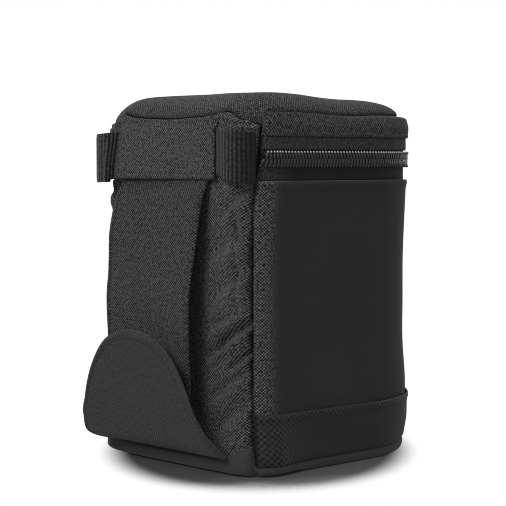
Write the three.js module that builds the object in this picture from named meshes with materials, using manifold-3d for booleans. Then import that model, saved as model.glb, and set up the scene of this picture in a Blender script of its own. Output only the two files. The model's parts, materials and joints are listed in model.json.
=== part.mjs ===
// Padded lens pouch with a zipped lid, a belt strap and two webbing loops.
// Millimetres, +Z up. The origin is the middle of the underside.
// -Y is the round front, and +Y is the back, which hangs on a belt.

import * as THREE from 'three';
import Module from 'manifold-3d';
import { mergeVertices } from 'three/addons/utils/BufferGeometryUtils.js';

const wasm = await Module();
wasm.setup();

// Plan of the body
const halfWidth = 58;
const backSeamY = 66;
const frontCentreY = -8;
const frontReach = 60;
const cornerRadius = 20;
const seamTurn = THREE.MathUtils.degToRad(40);
const backBow = 4.5;
const bowPower = 5;

// Heights
const baseEdgeHeight = 5.4;
const wallTop = 137;
const zipHeight = 20.5;
const lidBandHeight = 9.5;
const crownHeight = 11;
const crownReach = 16;
const baseRoundReach = 5;
const baseTuck = 0.5;

// Layers of the padded wall, from the outside in
const gap = 0.3;
const fabric = 1;
const wallFoam = 6;
const lining = 0.8;
const baseBoard = 1.4;
const baseFoam = 4;
const lidFoam = 8;
const lidFoamMargin = 0.5;
const lidSideFoam = 3;

// Reinforcement band and hems
const bandHeight = 23;
const bandFabric = 0.8;
const hemHeight = 2.6;
const hemRise = 0.5;

// Zip fastener
const tapeDepth = 1.7;
const tapeFabric = 0.7;
const tapeParting = 4;
const toothPitch = 2;
const toothRootWidth = 0.9;
const toothTipWidth = 0.55;
const chainHalfHeight = 3.6;
const chainRootHeight = 1.9;
const toothReach = 1;
const chainProud = 1;
const chainStart = 1;
const coverGap = 1.6;

// Slider and its pull tab
const sliderLength = 13;
const sliderPlate = 1.2;
const sliderFlange = 0.8;
const sliderClearance = 0.4;
const sliderParkGap = 8.14;
const wedgeHalfHeight = 1.5;
const wedgeLength = 4;
const bailLength = 6.4;
const bailWidth = 2.2;
const bailBar = 1;
const bailOpening = 2;
const pullLength = 24;
const pullWidth = 9;
const pullThickness = 1.2;
const pullHole = 3.6;
const railWidth = 1;
const eyeClearance = 0.5;
const weldOverlap = 0.5;

// Belt fastening
const beltCentreX = 2;
const patchWidth = 72;
const patchHeight = 27.4;
const patchDrop = 1.8;
const webbingWidth = 22.5;
const webbingThickness = 1.6;
const webbingMargin = 2;
const strapWidth = 62.5;
const strapThickness = 1.8;
const strapRootOut = 1.1;
const strapStandOff = 12.4;
const strapTurnGap = 0.6;
const loopPatchHeight = 15;
const loopPatchWidth = 32;
const loopPatchMargin = 2;
const hookFabric = 2;
const flapCentreX = -2.3;
const flapHalfWidth = 46;
const flapThickness = 2.2;
const flapBaseHeight = 8.2;
const flapBaseOut = 0.7;
const flapRise = 58.2;
const flapOverlap = 28.4;
const flapLean = 26;
const flapRoundPower = 2.2;
const hookPatchWidth = 32;

// How far the webbing loops stand out at the corner seams
const loopStandOff = 10;
const loopOverhang = 4.6;
const loopCrestShare = 0.025;
const loopEndClearance = 0.5;
const flatOverrun = 0.5;

// Facets
const frontSteps = 9;
const cornerSteps = 3;
const backSteps = 10;
const crownSteps = 5;
const baseSteps = 3;
const ribbonSteps = 14;
const flapSteps = 20;
const patchSteps = 4;
const pullFacets = 8;

// Places worked out from the sizes above
const cornerX = halfWidth - cornerRadius;
const cornerY = backSeamY - cornerRadius * Math.sin(seamTurn);
const seamX = cornerX + cornerRadius * Math.cos(seamTurn);
const sliderPark = cornerY - sliderParkGap;
const zipZ = wallTop + zipHeight / 2;
const lidBandBottom = wallTop + zipHeight;
const lidSeamZ = lidBandBottom + lidBandHeight;
const wallStartZ = baseEdgeHeight + gap;
const boardZ = fabric + gap;
const foamFloorZ = boardZ + baseBoard + gap;
const liningFloorZ = foamFloorZ + baseFoam + gap;
const foamInset = fabric + gap;
const liningInset = foamInset + wallFoam + gap;
const lidLiningInset = foamInset + lidSideFoam + gap;
const padInset = baseRoundReach + baseTuck + fabric + gap;
const backMiddleY = backSeamY + backBow;
const patchTop = lidSeamZ - patchDrop;
const strapTopZ = patchTop - patchHeight - strapTurnGap;
const strapDrop = strapTopZ - (flapBaseHeight + flapRise - flapOverlap);

// Colours and surfaces, one for each kind of cloth
function cloth(colour, roughness) {
  return new THREE.MeshStandardMaterial({ color: colour, roughness, metalness: 0 });
}

const bodyCloth = cloth(0x232323, 0.85);
const backCloth = cloth(0x2b2b2c, 0.85);
const bandCloth = cloth(0x1f1f20, 0.75);
const strapCloth = cloth(0x2f2f30, 0.85);
const webbingCloth = cloth(0x2c2c2c, 0.8);
const baseCloth = cloth(0x1a1a1b, 0.7);
const tapeCloth = cloth(0x151515, 0.9);
const liningCloth = cloth(0x4a4a4c, 0.8);
const foamBlack = cloth(0x3a3a3c, 0.95);
const hookCloth = cloth(0x121212, 0.95);
const boardPlastic = cloth(0x1c1c1c, 0.6);
const coilPlastic = cloth(0x0e0e0f, 0.35);
const sliderMetal = new THREE.MeshStandardMaterial({ color: 0x1b1b1c, roughness: 0.4, metalness: 0.8 });

const pouch = new THREE.Group();
pouch.name = 'lens_pouch';

function addPiece(name, geometry, material, parent = pouch) {
  const mesh = new THREE.Mesh(geometry, material);
  mesh.name = name;
  parent.add(mesh);
  return mesh;
}

// Geometry helpers

// A closed body from vertices and triangles, turned so that its faces point out
function closedBody(vertices, triangles) {
  let volume = 0;
  const [a, b, c] = [new THREE.Vector3(), new THREE.Vector3(), new THREE.Vector3()];
  for (const [i, j, k] of triangles) {
    a.fromArray(vertices[i]);
    b.fromArray(vertices[j]);
    c.fromArray(vertices[k]);
    volume += a.dot(b.cross(c));
  }
  const outward = volume > 0 ? triangles : triangles.map(([i, j, k]) => [i, k, j]);
  const geometry = new THREE.BufferGeometry();
  geometry.setAttribute('position', new THREE.Float32BufferAttribute(vertices.flat(), 3));
  geometry.setIndex(outward.flat());
  geometry.computeVertexNormals();
  return geometry;
}

function capTriangles(outline) {
  const points = outline.map(([u, v]) => new THREE.Vector2(u, v));
  return THREE.ShapeUtils.triangulateShape(points, []);
}

// A place on the plan's outline with the direction that points out of the wall there
function planFrame(x, y, outX, outY) {
  const length = Math.hypot(outX, outY);
  return { x, y, outX: outX / length, outY: outY / length };
}

function frontFrames() {
  const frames = [];
  for (let i = 0; i < frontSteps; i += 1) {
    const turn = (i / frontSteps) * (Math.PI / 2);
    const x = halfWidth * Math.sin(turn);
    const y = frontCentreY - frontReach * Math.cos(turn);
    frames.push(planFrame(x, y, Math.sin(turn) / halfWidth, -Math.cos(turn) / frontReach));
  }
  frames.push(planFrame(halfWidth, frontCentreY, 1, 0));
  return frames;
}

function cornerFrames() {
  const frames = [];
  for (let i = 0; i <= cornerSteps; i += 1) {
    const turn = (i / cornerSteps) * seamTurn;
    const x = cornerX + cornerRadius * Math.cos(turn);
    const y = cornerY + cornerRadius * Math.sin(turn);
    frames.push(planFrame(x, y, Math.cos(turn), Math.sin(turn)));
  }
  return frames;
}

function bowAt(x) {
  return backBow * (1 - Math.min(1, Math.abs(x) / seamX) ** bowPower);
}

function backFrames() {
  const frames = [];
  for (let i = 0; i <= backSteps; i += 1) {
    const share = Math.cos((i / backSteps) * Math.PI);
    const slope = -(backBow * bowPower * Math.sign(share) * Math.abs(share) ** (bowPower - 1)) / seamX;
    frames.push(planFrame(seamX * share, backSeamY + bowAt(seamX * share), -slope, 1));
  }
  return frames;
}

// At a corner seam both panels end on the line that halves the angle between them
function seamFrame(wallEnd, backEnd) {
  const reach = 1 + wallEnd.outX * backEnd.outX + wallEnd.outY * backEnd.outY;
  return {
    x: wallEnd.x,
    y: wallEnd.y,
    outX: (wallEnd.outX + backEnd.outX) / reach,
    outY: (wallEnd.outY + backEnd.outY) / reach,
  };
}

function mirrored(frame) {
  return { x: -frame.x, y: frame.y, outX: -frame.outX, outY: frame.outY };
}

// The seam end of a panel, drawn back from the seam by half the stitched gap
function drawnBack(seam, towards) {
  const length = Math.hypot(towards.x - seam.x, towards.y - seam.y);
  const share = gap / 2 / length;
  return { ...seam, x: seam.x + (towards.x - seam.x) * share, y: seam.y + (towards.y - seam.y) * share };
}

const rightWall = [...frontFrames(), ...cornerFrames()];
const backWall = backFrames();
const rightSeam = seamFrame(rightWall.at(-1), backWall[0]);
rightWall[rightWall.length - 1] = rightSeam;
const wholeWall = [...rightWall.slice(1).map(mirrored).reverse(), ...rightWall];
const wallPath = [
  drawnBack(wholeWall[0], wholeWall[1]),
  ...wholeWall.slice(1, -1),
  drawnBack(wholeWall.at(-1), wholeWall.at(-2)),
];
const backPath = [
  drawnBack(rightSeam, backWall[1]),
  ...backWall.slice(1, -1),
  drawnBack(mirrored(rightSeam), backWall.at(-2)),
];
const planOutline = [...wholeWall, ...backWall.slice(1, -1)];

// A place inset from the outline, where a negative inset stands outside it
function insetPoint(frame, inset, z) {
  return [frame.x - frame.outX * inset, frame.y - frame.outY * inset, z];
}

// The whole outline at one height. Deep insets shrink it towards the middle.
function planRing(inset, z) {
  const walled = Math.min(inset, liningInset + lining);
  const shrink = (halfWidth - inset) / (halfWidth - walled);
  return planOutline.map((frame) => {
    const [x, y] = insetPoint(frame, walled, z);
    return [x * shrink, y * shrink, z];
  });
}

// The faces between rings of equal length, each joined to the next
function sideTriangles(ringCount, count) {
  const triangles = [];
  for (let i = 0; i + 1 < ringCount; i += 1) {
    for (let j = 0; j < count; j += 1) {
      const next = (j + 1) % count;
      const [a, b, c, d] = [i * count + j, i * count + next, (i + 1) * count + next, (i + 1) * count + j];
      triangles.push([a, b, c], [a, c, d]);
    }
  }
  return triangles;
}

// A body from rings and the faces that close its two ends. The ends are turned over
// where their edges run the same way as those of the side faces.
function ringBody(rings, firstCap, lastCap) {
  const count = rings[0].length;
  const sides = sideTriangles(rings.length, count);
  const last = (rings.length - 1) * count;
  const caps = [
    ...firstCap,
    ...lastCap.map(([i, j, k]) => [last + i, last + k, last + j]),
  ];
  const sideEdges = new Set(sides.flatMap(([i, j, k]) => [`${i},${j}`, `${j},${k}`, `${k},${i}`]));
  const clashes = ([i, j, k]) => [[i, j], [j, k], [k, i]].some(([p, q]) => sideEdges.has(`${p},${q}`));
  const turned = caps.some(clashes) ? caps.map(([i, j, k]) => [i, k, j]) : caps;
  return closedBody(rings.flat(), [...sides, ...turned]);
}

// A profile of inset and height carried along an open run of the outline
function sweptWall(frames, profile) {
  const rings = frames.map((frame) => profile.map(([inset, z]) => insetPoint(frame, inset, z)));
  const cap = capTriangles(profile);
  return ringBody(rings, cap, cap);
}

function wallStrip(frames, inset, thickness, bottom, top) {
  return sweptWall(frames, [
    [inset, bottom],
    [inset, top],
    [inset + thickness, top],
    [inset + thickness, bottom],
  ]);
}

// Level rings of equal length joined in order and closed flat at both ends
function loftedRings(rings) {
  return ringBody(rings, capTriangles(rings[0]), capTriangles(rings.at(-1)));
}

// Sections of four corners each, joined in order and closed at both ends
function sectionedStrip(sections) {
  const cap = [[0, 2, 1], [0, 3, 2]];
  return ringBody(sections, cap, cap);
}

// A ribbon of cloth: a curve with a thickness, as wide on each side as the width function says
function ribbon(curve, thickness, widthAt, steps, start = 0, end = 1) {
  const rings = [];
  for (let i = 0; i <= steps; i += 1) {
    const share = start + (end - start) * (i / steps);
    const middle = curve.getPointAt(share);
    const along = curve.getTangentAt(share);
    const half = thickness / 2;
    const [outY, outZ] = [along.y * half, -along.x * half];
    const [low, high] = widthAt(share);
    rings.push([
      [low, middle.x + outY, middle.y + outZ],
      [high, middle.x + outY, middle.y + outZ],
      [high, middle.x - outY, middle.y - outZ],
      [low, middle.x - outY, middle.y - outZ],
    ]);
  }
  return sectionedStrip(rings);
}

function solidOf(geometry) {
  const bare = geometry.clone();
  bare.deleteAttribute('normal');
  bare.deleteAttribute('uv');
  const merged = mergeVertices(bare);
  const triVerts = new Uint32Array(merged.index.array);
  return new wasm.Manifold(new wasm.Mesh({
    numProp: 3,
    vertProperties: new Float32Array(merged.attributes.position.array),
    triVerts,
  }));
}

function geometryOf(solid) {
  const mesh = solid.getMesh();
  const geometry = new THREE.BufferGeometry();
  geometry.setAttribute('position', new THREE.Float32BufferAttribute(mesh.vertProperties, 3));
  geometry.setIndex(Array.from(mesh.triVerts));
  geometry.computeVertexNormals();
  return geometry;
}

function joined(geometries) {
  const solids = geometries.map(solidOf);
  return geometryOf(solids.reduce((whole, solid) => whole.add(solid)));
}

function box(low, high) {
  const size = high.map((value, i) => value - low[i]);
  const geometry = new THREE.BoxGeometry(...size);
  geometry.translate(...high.map((value, i) => (value + low[i]) / 2));
  return geometry;
}

// Base: a cloth tray with a stiff board and a foam pad in it

function baseTray() {
  const outer = [];
  const inner = [];
  for (let i = 0; i <= baseSteps; i += 1) {
    const turn = (i / baseSteps) * (Math.PI / 2);
    const inset = baseTuck + baseRoundReach * (1 - Math.sin(turn));
    const riseShare = 1 - Math.cos(turn);
    outer.push(planRing(inset, baseEdgeHeight * riseShare));
    inner.push(planRing(inset + fabric, fabric + (baseEdgeHeight - fabric) * riseShare));
  }
  return loftedRings([...outer, ...inner.reverse()]);
}

function floorPlate(inset, bottom, thickness) {
  return loftedRings([planRing(inset, bottom), planRing(inset, bottom + thickness)]);
}

function addBase() {
  addPiece('base_panel', baseTray(), baseCloth);
  addPiece('base_board', floorPlate(padInset, boardZ, baseBoard), boardPlastic);
  addPiece('base_foam', floorPlate(padInset - baseRoundReach / 2, foamFloorZ, baseFoam), foamBlack);
  addPiece('floor_lining', floorPlate(liningInset, liningFloorZ, lining), liningCloth);
}

// Walls: cloth outside, foam, and lining inside, with a tougher band round the foot

function addWalls() {
  const hemmed = [
    [0, wallStartZ],
    [0, wallTop - hemHeight],
    [-hemRise, wallTop - hemHeight + hemRise],
    [-hemRise, wallTop],
    [fabric, wallTop],
    [fabric, wallStartZ],
  ];
  addPiece('outer_wrap', sweptWall(wallPath, hemmed), bodyCloth);
  const bandTop = wallStartZ + bandHeight;
  const outerFace = -gap - bandFabric;
  const band = [
    [outerFace, wallStartZ],
    [outerFace, bandTop - hemHeight],
    [outerFace - hemRise, bandTop - hemHeight + hemRise],
    [outerFace - hemRise, bandTop],
    [-gap, bandTop],
    [-gap, wallStartZ],
  ];
  addPiece('reinforcement_band', sweptWall(wallPath, band), bandCloth);
  const foamTop = wallTop - gap;
  addPiece('wall_foam', wallStrip(wallPath, foamInset, wallFoam, liningFloorZ, foamTop), foamBlack);
  const liningStart = liningFloorZ + lining + gap;
  addPiece('wall_lining', wallStrip(wallPath, liningInset, lining, liningStart, foamTop), liningCloth);
  const backTop = lidSeamZ;
  addPiece('back_panel', wallStrip(backPath, 0, fabric, wallStartZ, backTop), backCloth);
  const backFoamTop = backTop - gap;
  addPiece('back_foam', wallStrip(backPath, foamInset, wallFoam, liningFloorZ, backFoamTop), foamBlack);
  addPiece('back_lining', wallStrip(backPath, liningInset, lining, liningStart, backFoamTop), liningCloth);
}

// Zip fastener: two tapes and two toothed chain halves round the sides and the front

const lengths = [0];
for (let i = 1; i < wholeWall.length; i += 1) {
  const [a, b] = [wholeWall[i - 1], wholeWall[i]];
  lengths.push(lengths[i - 1] + Math.hypot(b.x - a.x, b.y - a.y));
}

// The place a given length along the wall from the left corner seam
function wallPlace(length) {
  const at = lengths.findIndex((value, i) => i > 0 && value >= length);
  const index = at < 0 ? lengths.length - 1 : at;
  const share = (length - lengths[index - 1]) / (lengths[index] - lengths[index - 1]);
  const [a, b] = [wholeWall[index - 1], wholeWall[index]];
  const mix = (key) => a[key] + (b[key] - a[key]) * share;
  return { x: mix('x'), y: mix('y'), outX: mix('outX'), outY: mix('outY') };
}

const cornerStartLength = lengths[lengths.length - 1 - cornerSteps];
const chainEnd = cornerStartLength - (cornerY - sliderPark) + sliderClearance;
const chainInner = tapeDepth - gap;

// One half of the chain. Its teeth point up or down and pass between those of the other half.
function chainHalf(pointing, phase) {
  const outline = { low: [], high: [] };
  const rootZ = zipZ - pointing * chainHalfHeight;
  const valleyZ = rootZ + pointing * chainRootHeight;
  const tipZ = zipZ + pointing * toothReach;
  const count = Math.floor((chainEnd - chainStart) / toothPitch - phase);
  const faces = [];
  const places = [];
  const spot = (length, z) => places.push([length, z]) - 1;
  let previous = null;
  for (let i = 0; i < count; i += 1) {
    const middle = chainStart + (i + phase + 1 / 2) * toothPitch;
    const root = spot(middle, rootZ);
    const corners = [
      spot(middle - toothRootWidth / 2, valleyZ),
      spot(middle - toothTipWidth / 2, tipZ),
      spot(middle + toothTipWidth / 2, tipZ),
      spot(middle + toothRootWidth / 2, valleyZ),
    ];
    for (let k = 0; k + 1 < corners.length; k += 1) {
      faces.push([root, corners[k], corners[k + 1]]);
    }
    if (previous) {
      faces.push([previous.root, previous.valley, corners[0]], [previous.root, corners[0], root]);
    }
    outline.low.push(root);
    outline.high.push(...corners);
    previous = { root, valley: corners.at(-1) };
  }
  const border = [...outline.low, ...outline.high.reverse()];
  return thickenedFace(places, faces, border);
}

function thickenedFace(places, faces, border) {
  const count = places.length;
  const outside = places.map(([length, z]) => insetPoint(wallPlace(length), -chainProud, z));
  const inside = places.map(([length, z]) => insetPoint(wallPlace(length), chainInner, z));
  const triangles = [];
  for (const [i, j, k] of faces) {
    triangles.push([i, j, k], [count + i, count + k, count + j]);
  }
  const directed = new Set(faces.flatMap(([i, j, k]) => [`${i},${j}`, `${j},${k}`, `${k},${i}`]));
  for (let i = 0; i < border.length; i += 1) {
    const [a, b] = [border[i], border[(i + 1) % border.length]];
    const [from, to] = directed.has(`${a},${b}`) ? [b, a] : [a, b];
    triangles.push([from, to, count + to], [from, count + to, count + from]);
  }
  return closedBody([...outside, ...inside], triangles);
}

function addLowerZip() {
  const top = zipZ - tapeParting / 2;
  addPiece('zip_tape_lower', wallStrip(wallPath, tapeDepth, tapeFabric, wallTop + gap, top), tapeCloth);
  addPiece('zip_chain_lower', chainHalf(1, 0), coilPlastic);
}

function addUpperZip() {
  const bottom = zipZ + tapeParting / 2;
  const top = lidBandBottom - gap;
  addPiece('zip_tape_upper', wallStrip(wallPath, tapeDepth, tapeFabric, bottom, top), tapeCloth);
  addPiece('zip_chain_upper', chainHalf(-1, 1 / 2), coilPlastic);
  const coverBottom = zipZ + chainHalfHeight + coverGap;
  const coverInset = tapeDepth - gap - fabric;
  addPiece('zip_cover_strip', wallStrip(wallPath, coverInset, fabric, coverBottom, top), bodyCloth);
}

// Lid: a side band, a padded crown, and the lining under it

function crownRing(inset, height, reach, turn) {
  const roundShare = 0.8;
  const drawn = 1 - Math.cos(turn) ** roundShare;
  const rise = Math.sin(turn) ** roundShare;
  return planRing(inset + reach * drawn, lidSeamZ + gap + height * rise);
}

function crownRings(inset, height, reach, base) {
  const rings = [];
  for (let i = 0; i <= crownSteps; i += 1) {
    rings.push(crownRing(inset, height, reach, (i / crownSteps) * (Math.PI / 2)));
  }
  return rings.map((ring) => ring.map(([x, y, z]) => [x, y, z + base]));
}

function addLid() {
  addPiece('lid_side_band', wallStrip(wallPath, 0, fabric, lidBandBottom, lidSeamZ), bodyCloth);
  const paddingTop = lidSeamZ - gap;
  const sideFoam = wallStrip(wallPath, foamInset, lidSideFoam, lidBandBottom + gap, paddingTop);
  addPiece('lid_side_foam', sideFoam, foamBlack);
  const sideLining = wallStrip(wallPath, lidLiningInset, lining, lidBandBottom, paddingTop);
  addPiece('lid_side_lining', sideLining, liningCloth);
  const outer = crownRings(0, crownHeight, crownReach, 0);
  const inner = crownRings(fabric, crownHeight - fabric, crownReach, 0);
  addPiece('lid_top_panel', loftedRings([...outer.reverse(), ...inner]), backCloth);
  addPiece('lid_lining', floorPlate(foamInset, lidSeamZ, lining), liningCloth);
  const foamRings = crownRings(foamInset + lidFoamMargin, lidFoam, crownReach, lining);
  addPiece('lid_foam', loftedRings(foamRings), foamBlack);
}

// Slider: two plates joined by a wedge, with a bail on top that holds the pull tab.
// It is drawn with X out of the wall, Y along the chain and Z across it.

const sliderHalfWidth = chainHalfHeight + sliderClearance + sliderFlange;
const plateBottom = chainProud + sliderClearance;
const plateTop = plateBottom + sliderPlate;
const backPlateOuter = -(tapeDepth + tapeFabric + sliderClearance);
const pivotOut = plateTop + bailOpening / 2;

function sliderPlateShape(halfWidthHere, low, high) {
  const half = sliderLength / 2;
  const nose = halfWidthHere - sliderFlange;
  const shape = new THREE.Shape();
  shape.moveTo(-half, -nose);
  shape.lineTo(0, -nose);
  shape.lineTo(half - sliderFlange, -halfWidthHere);
  shape.lineTo(half, -nose);
  shape.lineTo(half, nose);
  shape.lineTo(half - sliderFlange, halfWidthHere);
  shape.lineTo(0, nose);
  shape.lineTo(-half, nose);
  const geometry = new THREE.ExtrudeGeometry(shape, { depth: high - low, bevelEnabled: false });
  geometry.rotateY(Math.PI / 2);
  geometry.rotateX(Math.PI / 2);
  geometry.translate(low, 0, 0);
  return geometry;
}

function sliderBody() {
  const half = sliderLength / 2;
  const flangeReach = gap - tapeDepth + sliderClearance;
  const pieces = [
    sliderPlateShape(sliderHalfWidth, plateBottom, plateTop),
    sliderPlateShape(sliderHalfWidth, backPlateOuter - sliderPlate, backPlateOuter),
    box([backPlateOuter - weldOverlap, half - wedgeLength - gap, -wedgeHalfHeight],
      [plateBottom + weldOverlap, half - gap, wedgeHalfHeight]),
  ];
  for (const side of [-1, 1]) {
    const [near, far] = [sliderHalfWidth - sliderFlange, sliderHalfWidth].map((value) => value * side);
    pieces.push(box([flangeReach, -half, Math.min(near, far)], [plateTop, half - sliderFlange, Math.max(near, far)]));
  }
  const halfBail = bailLength / 2;
  const bailTop = plateTop + bailOpening + bailBar;
  pieces.push(box([plateTop + bailOpening, -halfBail, -bailWidth / 2], [bailTop, halfBail, bailWidth / 2]));
  for (const side of [-1, 1]) {
    const [near, far] = [halfBail - bailBar, halfBail].map((value) => value * side);
    pieces.push(box([plateTop - weldOverlap, Math.min(near, far), -bailWidth / 2],
      [bailTop, Math.max(near, far), bailWidth / 2]));
  }
  return joined(pieces);
}

// Points along an arc, without the two ends
function arcPoints(centreX, radius, from, to, steps) {
  const points = [];
  for (let i = 1; i < steps; i += 1) {
    const turn = from + ((to - from) * i) / steps;
    points.push(new THREE.Vector2(centreX + radius * Math.cos(turn), radius * Math.sin(turn)));
  }
  return points;
}

function pullTab() {
  const halfEye = bailWidth / 2 + eyeClearance;
  const halfRail = halfEye + railWidth;
  const eyeEnd = bailLength / 2 + bailBar;
  const halfPull = pullWidth / 2;
  const shoulder = -eyeEnd - railWidth - halfRail;
  const endCentre = -pullLength + halfPull;
  const spot = (x, y) => new THREE.Vector2(x, y);
  const outline = new THREE.Shape([
    spot(railWidth / 2, -halfRail),
    spot(railWidth / 2, halfRail),
    spot(-eyeEnd - railWidth, halfRail),
    spot(shoulder, halfPull),
    spot(endCentre, halfPull),
    ...arcPoints(endCentre, halfPull, Math.PI / 2, Math.PI / 2 + Math.PI, pullFacets),
    spot(endCentre, -halfPull),
    spot(shoulder, -halfPull),
    spot(-eyeEnd - railWidth, -halfRail),
  ]);
  const eye = new THREE.Path([
    spot(-railWidth / 2, -halfEye),
    spot(-eyeEnd, -halfEye),
    spot(-eyeEnd, halfEye),
    spot(-railWidth / 2, halfEye),
  ]);
  const cordHole = new THREE.Path([
    spot(endCentre + pullHole / 2, 0),
    ...arcPoints(endCentre, pullHole / 2, 0, -2 * Math.PI, pullFacets),
  ]);
  outline.holes.push(eye, cordHole);
  const geometry = new THREE.ExtrudeGeometry(outline, { depth: pullThickness, bevelEnabled: false });
  geometry.rotateY(Math.PI / 2);
  geometry.rotateX(Math.PI / 2);
  geometry.translate(-pullThickness / 2, 0, 0);
  return mergeVertices(stripped(geometry));
}

function stripped(geometry) {
  geometry.deleteAttribute('normal');
  geometry.deleteAttribute('uv');
  return geometry;
}

function addSlider() {
  const carriage = new THREE.Group();
  carriage.position.set(halfWidth, sliderPark, zipZ);
  pouch.add(carriage);
  addPiece('zip_slider', sliderBody(), sliderMetal, carriage);
  const pull = addPiece('pull_tab', pullTab(), sliderMetal, carriage);
  pull.position.set(pivotOut, 0, 0);
}

// Webbing: one length across the back under the anchor patch, slack at both corners

function loopCurve(side) {
  const edge = beltCentreX * side + patchWidth / 2 + flatOverrun;
  const lift = gap + webbingThickness / 2;
  const seamReach = Math.hypot(rightSeam.outX, rightSeam.outY);
  const [outX, outY] = [rightSeam.outX / seamReach, rightSeam.outY / seamReach];
  const points = [
    [edge, backSeamY + bowAt(edge) + lift],
    [edge + loopStandOff, backSeamY + loopStandOff - webbingThickness],
    [seamX - loopCrestShare * cornerRadius, backSeamY + loopStandOff],
    [seamX + loopOverhang, backSeamY + loopStandOff / 2],
    [seamX + outX * (lift + loopEndClearance) + loopEndClearance, backSeamY + outY * lift],
  ];
  return new THREE.SplineCurve(points.map(([x, y]) => new THREE.Vector2(x * side, y)));
}

function webbingPoints() {
  const flatWidth = patchWidth + flatOverrun + flatOverrun;
  const flat = [];
  for (let i = 1; i < backSteps; i += 1) {
    const x = beltCentreX + flatWidth / 2 - (flatWidth * i) / backSteps;
    flat.push(new THREE.Vector2(x, backSeamY + bowAt(x) + gap + webbingThickness / 2));
  }
  const right = loopCurve(1).getSpacedPoints(ribbonSteps);
  const left = loopCurve(-1).getSpacedPoints(ribbonSteps);
  return [...right.reverse(), ...flat, ...left];
}

function uprightRibbon(points, thickness, bottom, top) {
  const sections = points.map((middle, i) => {
    const before = points[Math.max(i - 1, 0)];
    const after = points[Math.min(i + 1, points.length - 1)];
    const along = after.clone().sub(before).normalize();
    const [outX, outY] = [along.y * (thickness / 2), -along.x * (thickness / 2)];
    return [
      [middle.x + outX, middle.y + outY, bottom],
      [middle.x + outX, middle.y + outY, top],
      [middle.x - outX, middle.y - outY, top],
      [middle.x - outX, middle.y - outY, bottom],
    ];
  });
  return sectionedStrip(sections);
}

const webbingBottom = patchTop - patchHeight + webbingMargin;
const webbingTop = webbingBottom + webbingWidth;

function addWebbing() {
  const strip = uprightRibbon(webbingPoints(), webbingThickness, webbingBottom, webbingTop);
  addPiece('loop_webbing', strip, webbingCloth);
}

// Anchor patch: cloth sewn over the webbing, raised where it passes over it

function patchFrames() {
  const frames = [];
  for (let i = 0; i <= backSteps; i += 1) {
    const x = beltCentreX + patchWidth * (i / backSteps - 1 / 2);
    frames.push({ x, y: backSeamY + bowAt(x), outX: 0, outY: 1 });
  }
  return frames;
}

function addAnchorPatch() {
  const bottom = patchTop - patchHeight;
  const under = gap + webbingThickness + gap;
  const hem = webbingMargin - gap;
  const profile = [
    [-gap, bottom],
    [-gap - fabric, bottom],
    [-under - fabric, bottom + hem - gap],
    [-under - fabric, webbingTop + gap + gap],
    [-gap - fabric, webbingTop + hem + gap],
    [-gap - fabric, patchTop],
    [-gap, patchTop],
    [-gap, webbingTop + hem],
    [-under, webbingTop + gap],
    [-under, bottom + hem],
    [-gap, bottom + gap],
  ];
  addPiece('anchor_patch', sweptWall(patchFrames(), profile), strapCloth);
}

// Belt strap: hangs from the anchor patch and stands off the back, so that a belt passes behind it

const strapRootY = backMiddleY + strapRootOut;
// How far down the strap, and how far out from its root
const strapLineShares = [[0, 0], [0.1, 0.34], [0.2, 0.5], [0.33, 0.66], [0.46, 0.87], [0.6, 1], [0.8, 1], [1, 0.9]];

function strapCurve(lift) {
  return new THREE.SplineCurve(strapLineShares.map(([down, out]) => new THREE.Vector2(
    strapRootY + lift + strapStandOff * out,
    strapTopZ - strapDrop * down,
  )));
}

function addStrap() {
  const low = beltCentreX - strapWidth / 2;
  const across = () => [low, low + strapWidth];
  addPiece('belt_strap', ribbon(strapCurve(0), strapThickness, across, ribbonSteps), strapCloth);
  const lift = strapThickness / 2 + gap + hookFabric / 2;
  const patchLow = beltCentreX - loopPatchWidth / 2;
  const patchAcross = () => [patchLow, patchLow + loopPatchWidth];
  const start = 1 - (loopPatchHeight + loopPatchMargin) / strapDrop;
  const end = 1 - loopPatchMargin / strapDrop;
  const patch = ribbon(strapCurve(lift), hookFabric, patchAcross, patchSteps, start, end);
  addPiece('strap_loop_patch', patch, hookCloth);
}

// Belt flap: a round tab sewn into the bottom seam, which folds up over the strap's end

// How far up the flap, and how far out from its root
const flapLineShares = [
  [0, 0], [0.02, 0.2], [0.06, 0.42], [0.12, 0.58], [0.24, 0.735], [0.38, 0.81], [0.59, 0.86], [0.8, 0.91], [1, 1],
];

function flapCurve(lift) {
  return new THREE.SplineCurve(flapLineShares.map(([up, out]) => new THREE.Vector2(
    backMiddleY + flapBaseOut - lift + flapLean * out,
    flapBaseHeight + flapRise * up,
  )));
}

function flapHalfWidthAt(share) {
  return flapHalfWidth * Math.max(0, 1 - share ** flapRoundPower) ** (1 / flapRoundPower);
}

function addFlap() {
  const tipShare = 0.999;
  const rounded = (share) => {
    const eased = Math.sin((share * Math.PI) / 2);
    const half = flapHalfWidthAt(Math.min(eased, tipShare));
    return [flapCentreX - half, flapCentreX + half];
  };
  addPiece('belt_flap', easedRibbon(flapCurve(0), flapThickness, rounded), strapCloth);
  const lift = flapThickness / 2 + gap + hookFabric / 2;
  const low = beltCentreX - hookPatchWidth / 2;
  const patchSpanShares = [0.6, 0.8];
  const across = () => [low, low + hookPatchWidth];
  const patch = ribbon(flapCurve(lift), hookFabric, across, patchSteps, ...patchSpanShares);
  addPiece('flap_hook_patch', patch, hookCloth);
}

// A ribbon whose steps crowd together towards its rounded end
function easedRibbon(curve, thickness, widthAt) {
  const eased = {
    getPointAt: (share) => curve.getPointAt(Math.sin((share * Math.PI) / 2)),
    getTangentAt: (share) => curve.getTangentAt(Math.sin((share * Math.PI) / 2)),
  };
  return ribbon(eased, thickness, widthAt, flapSteps);
}

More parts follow.
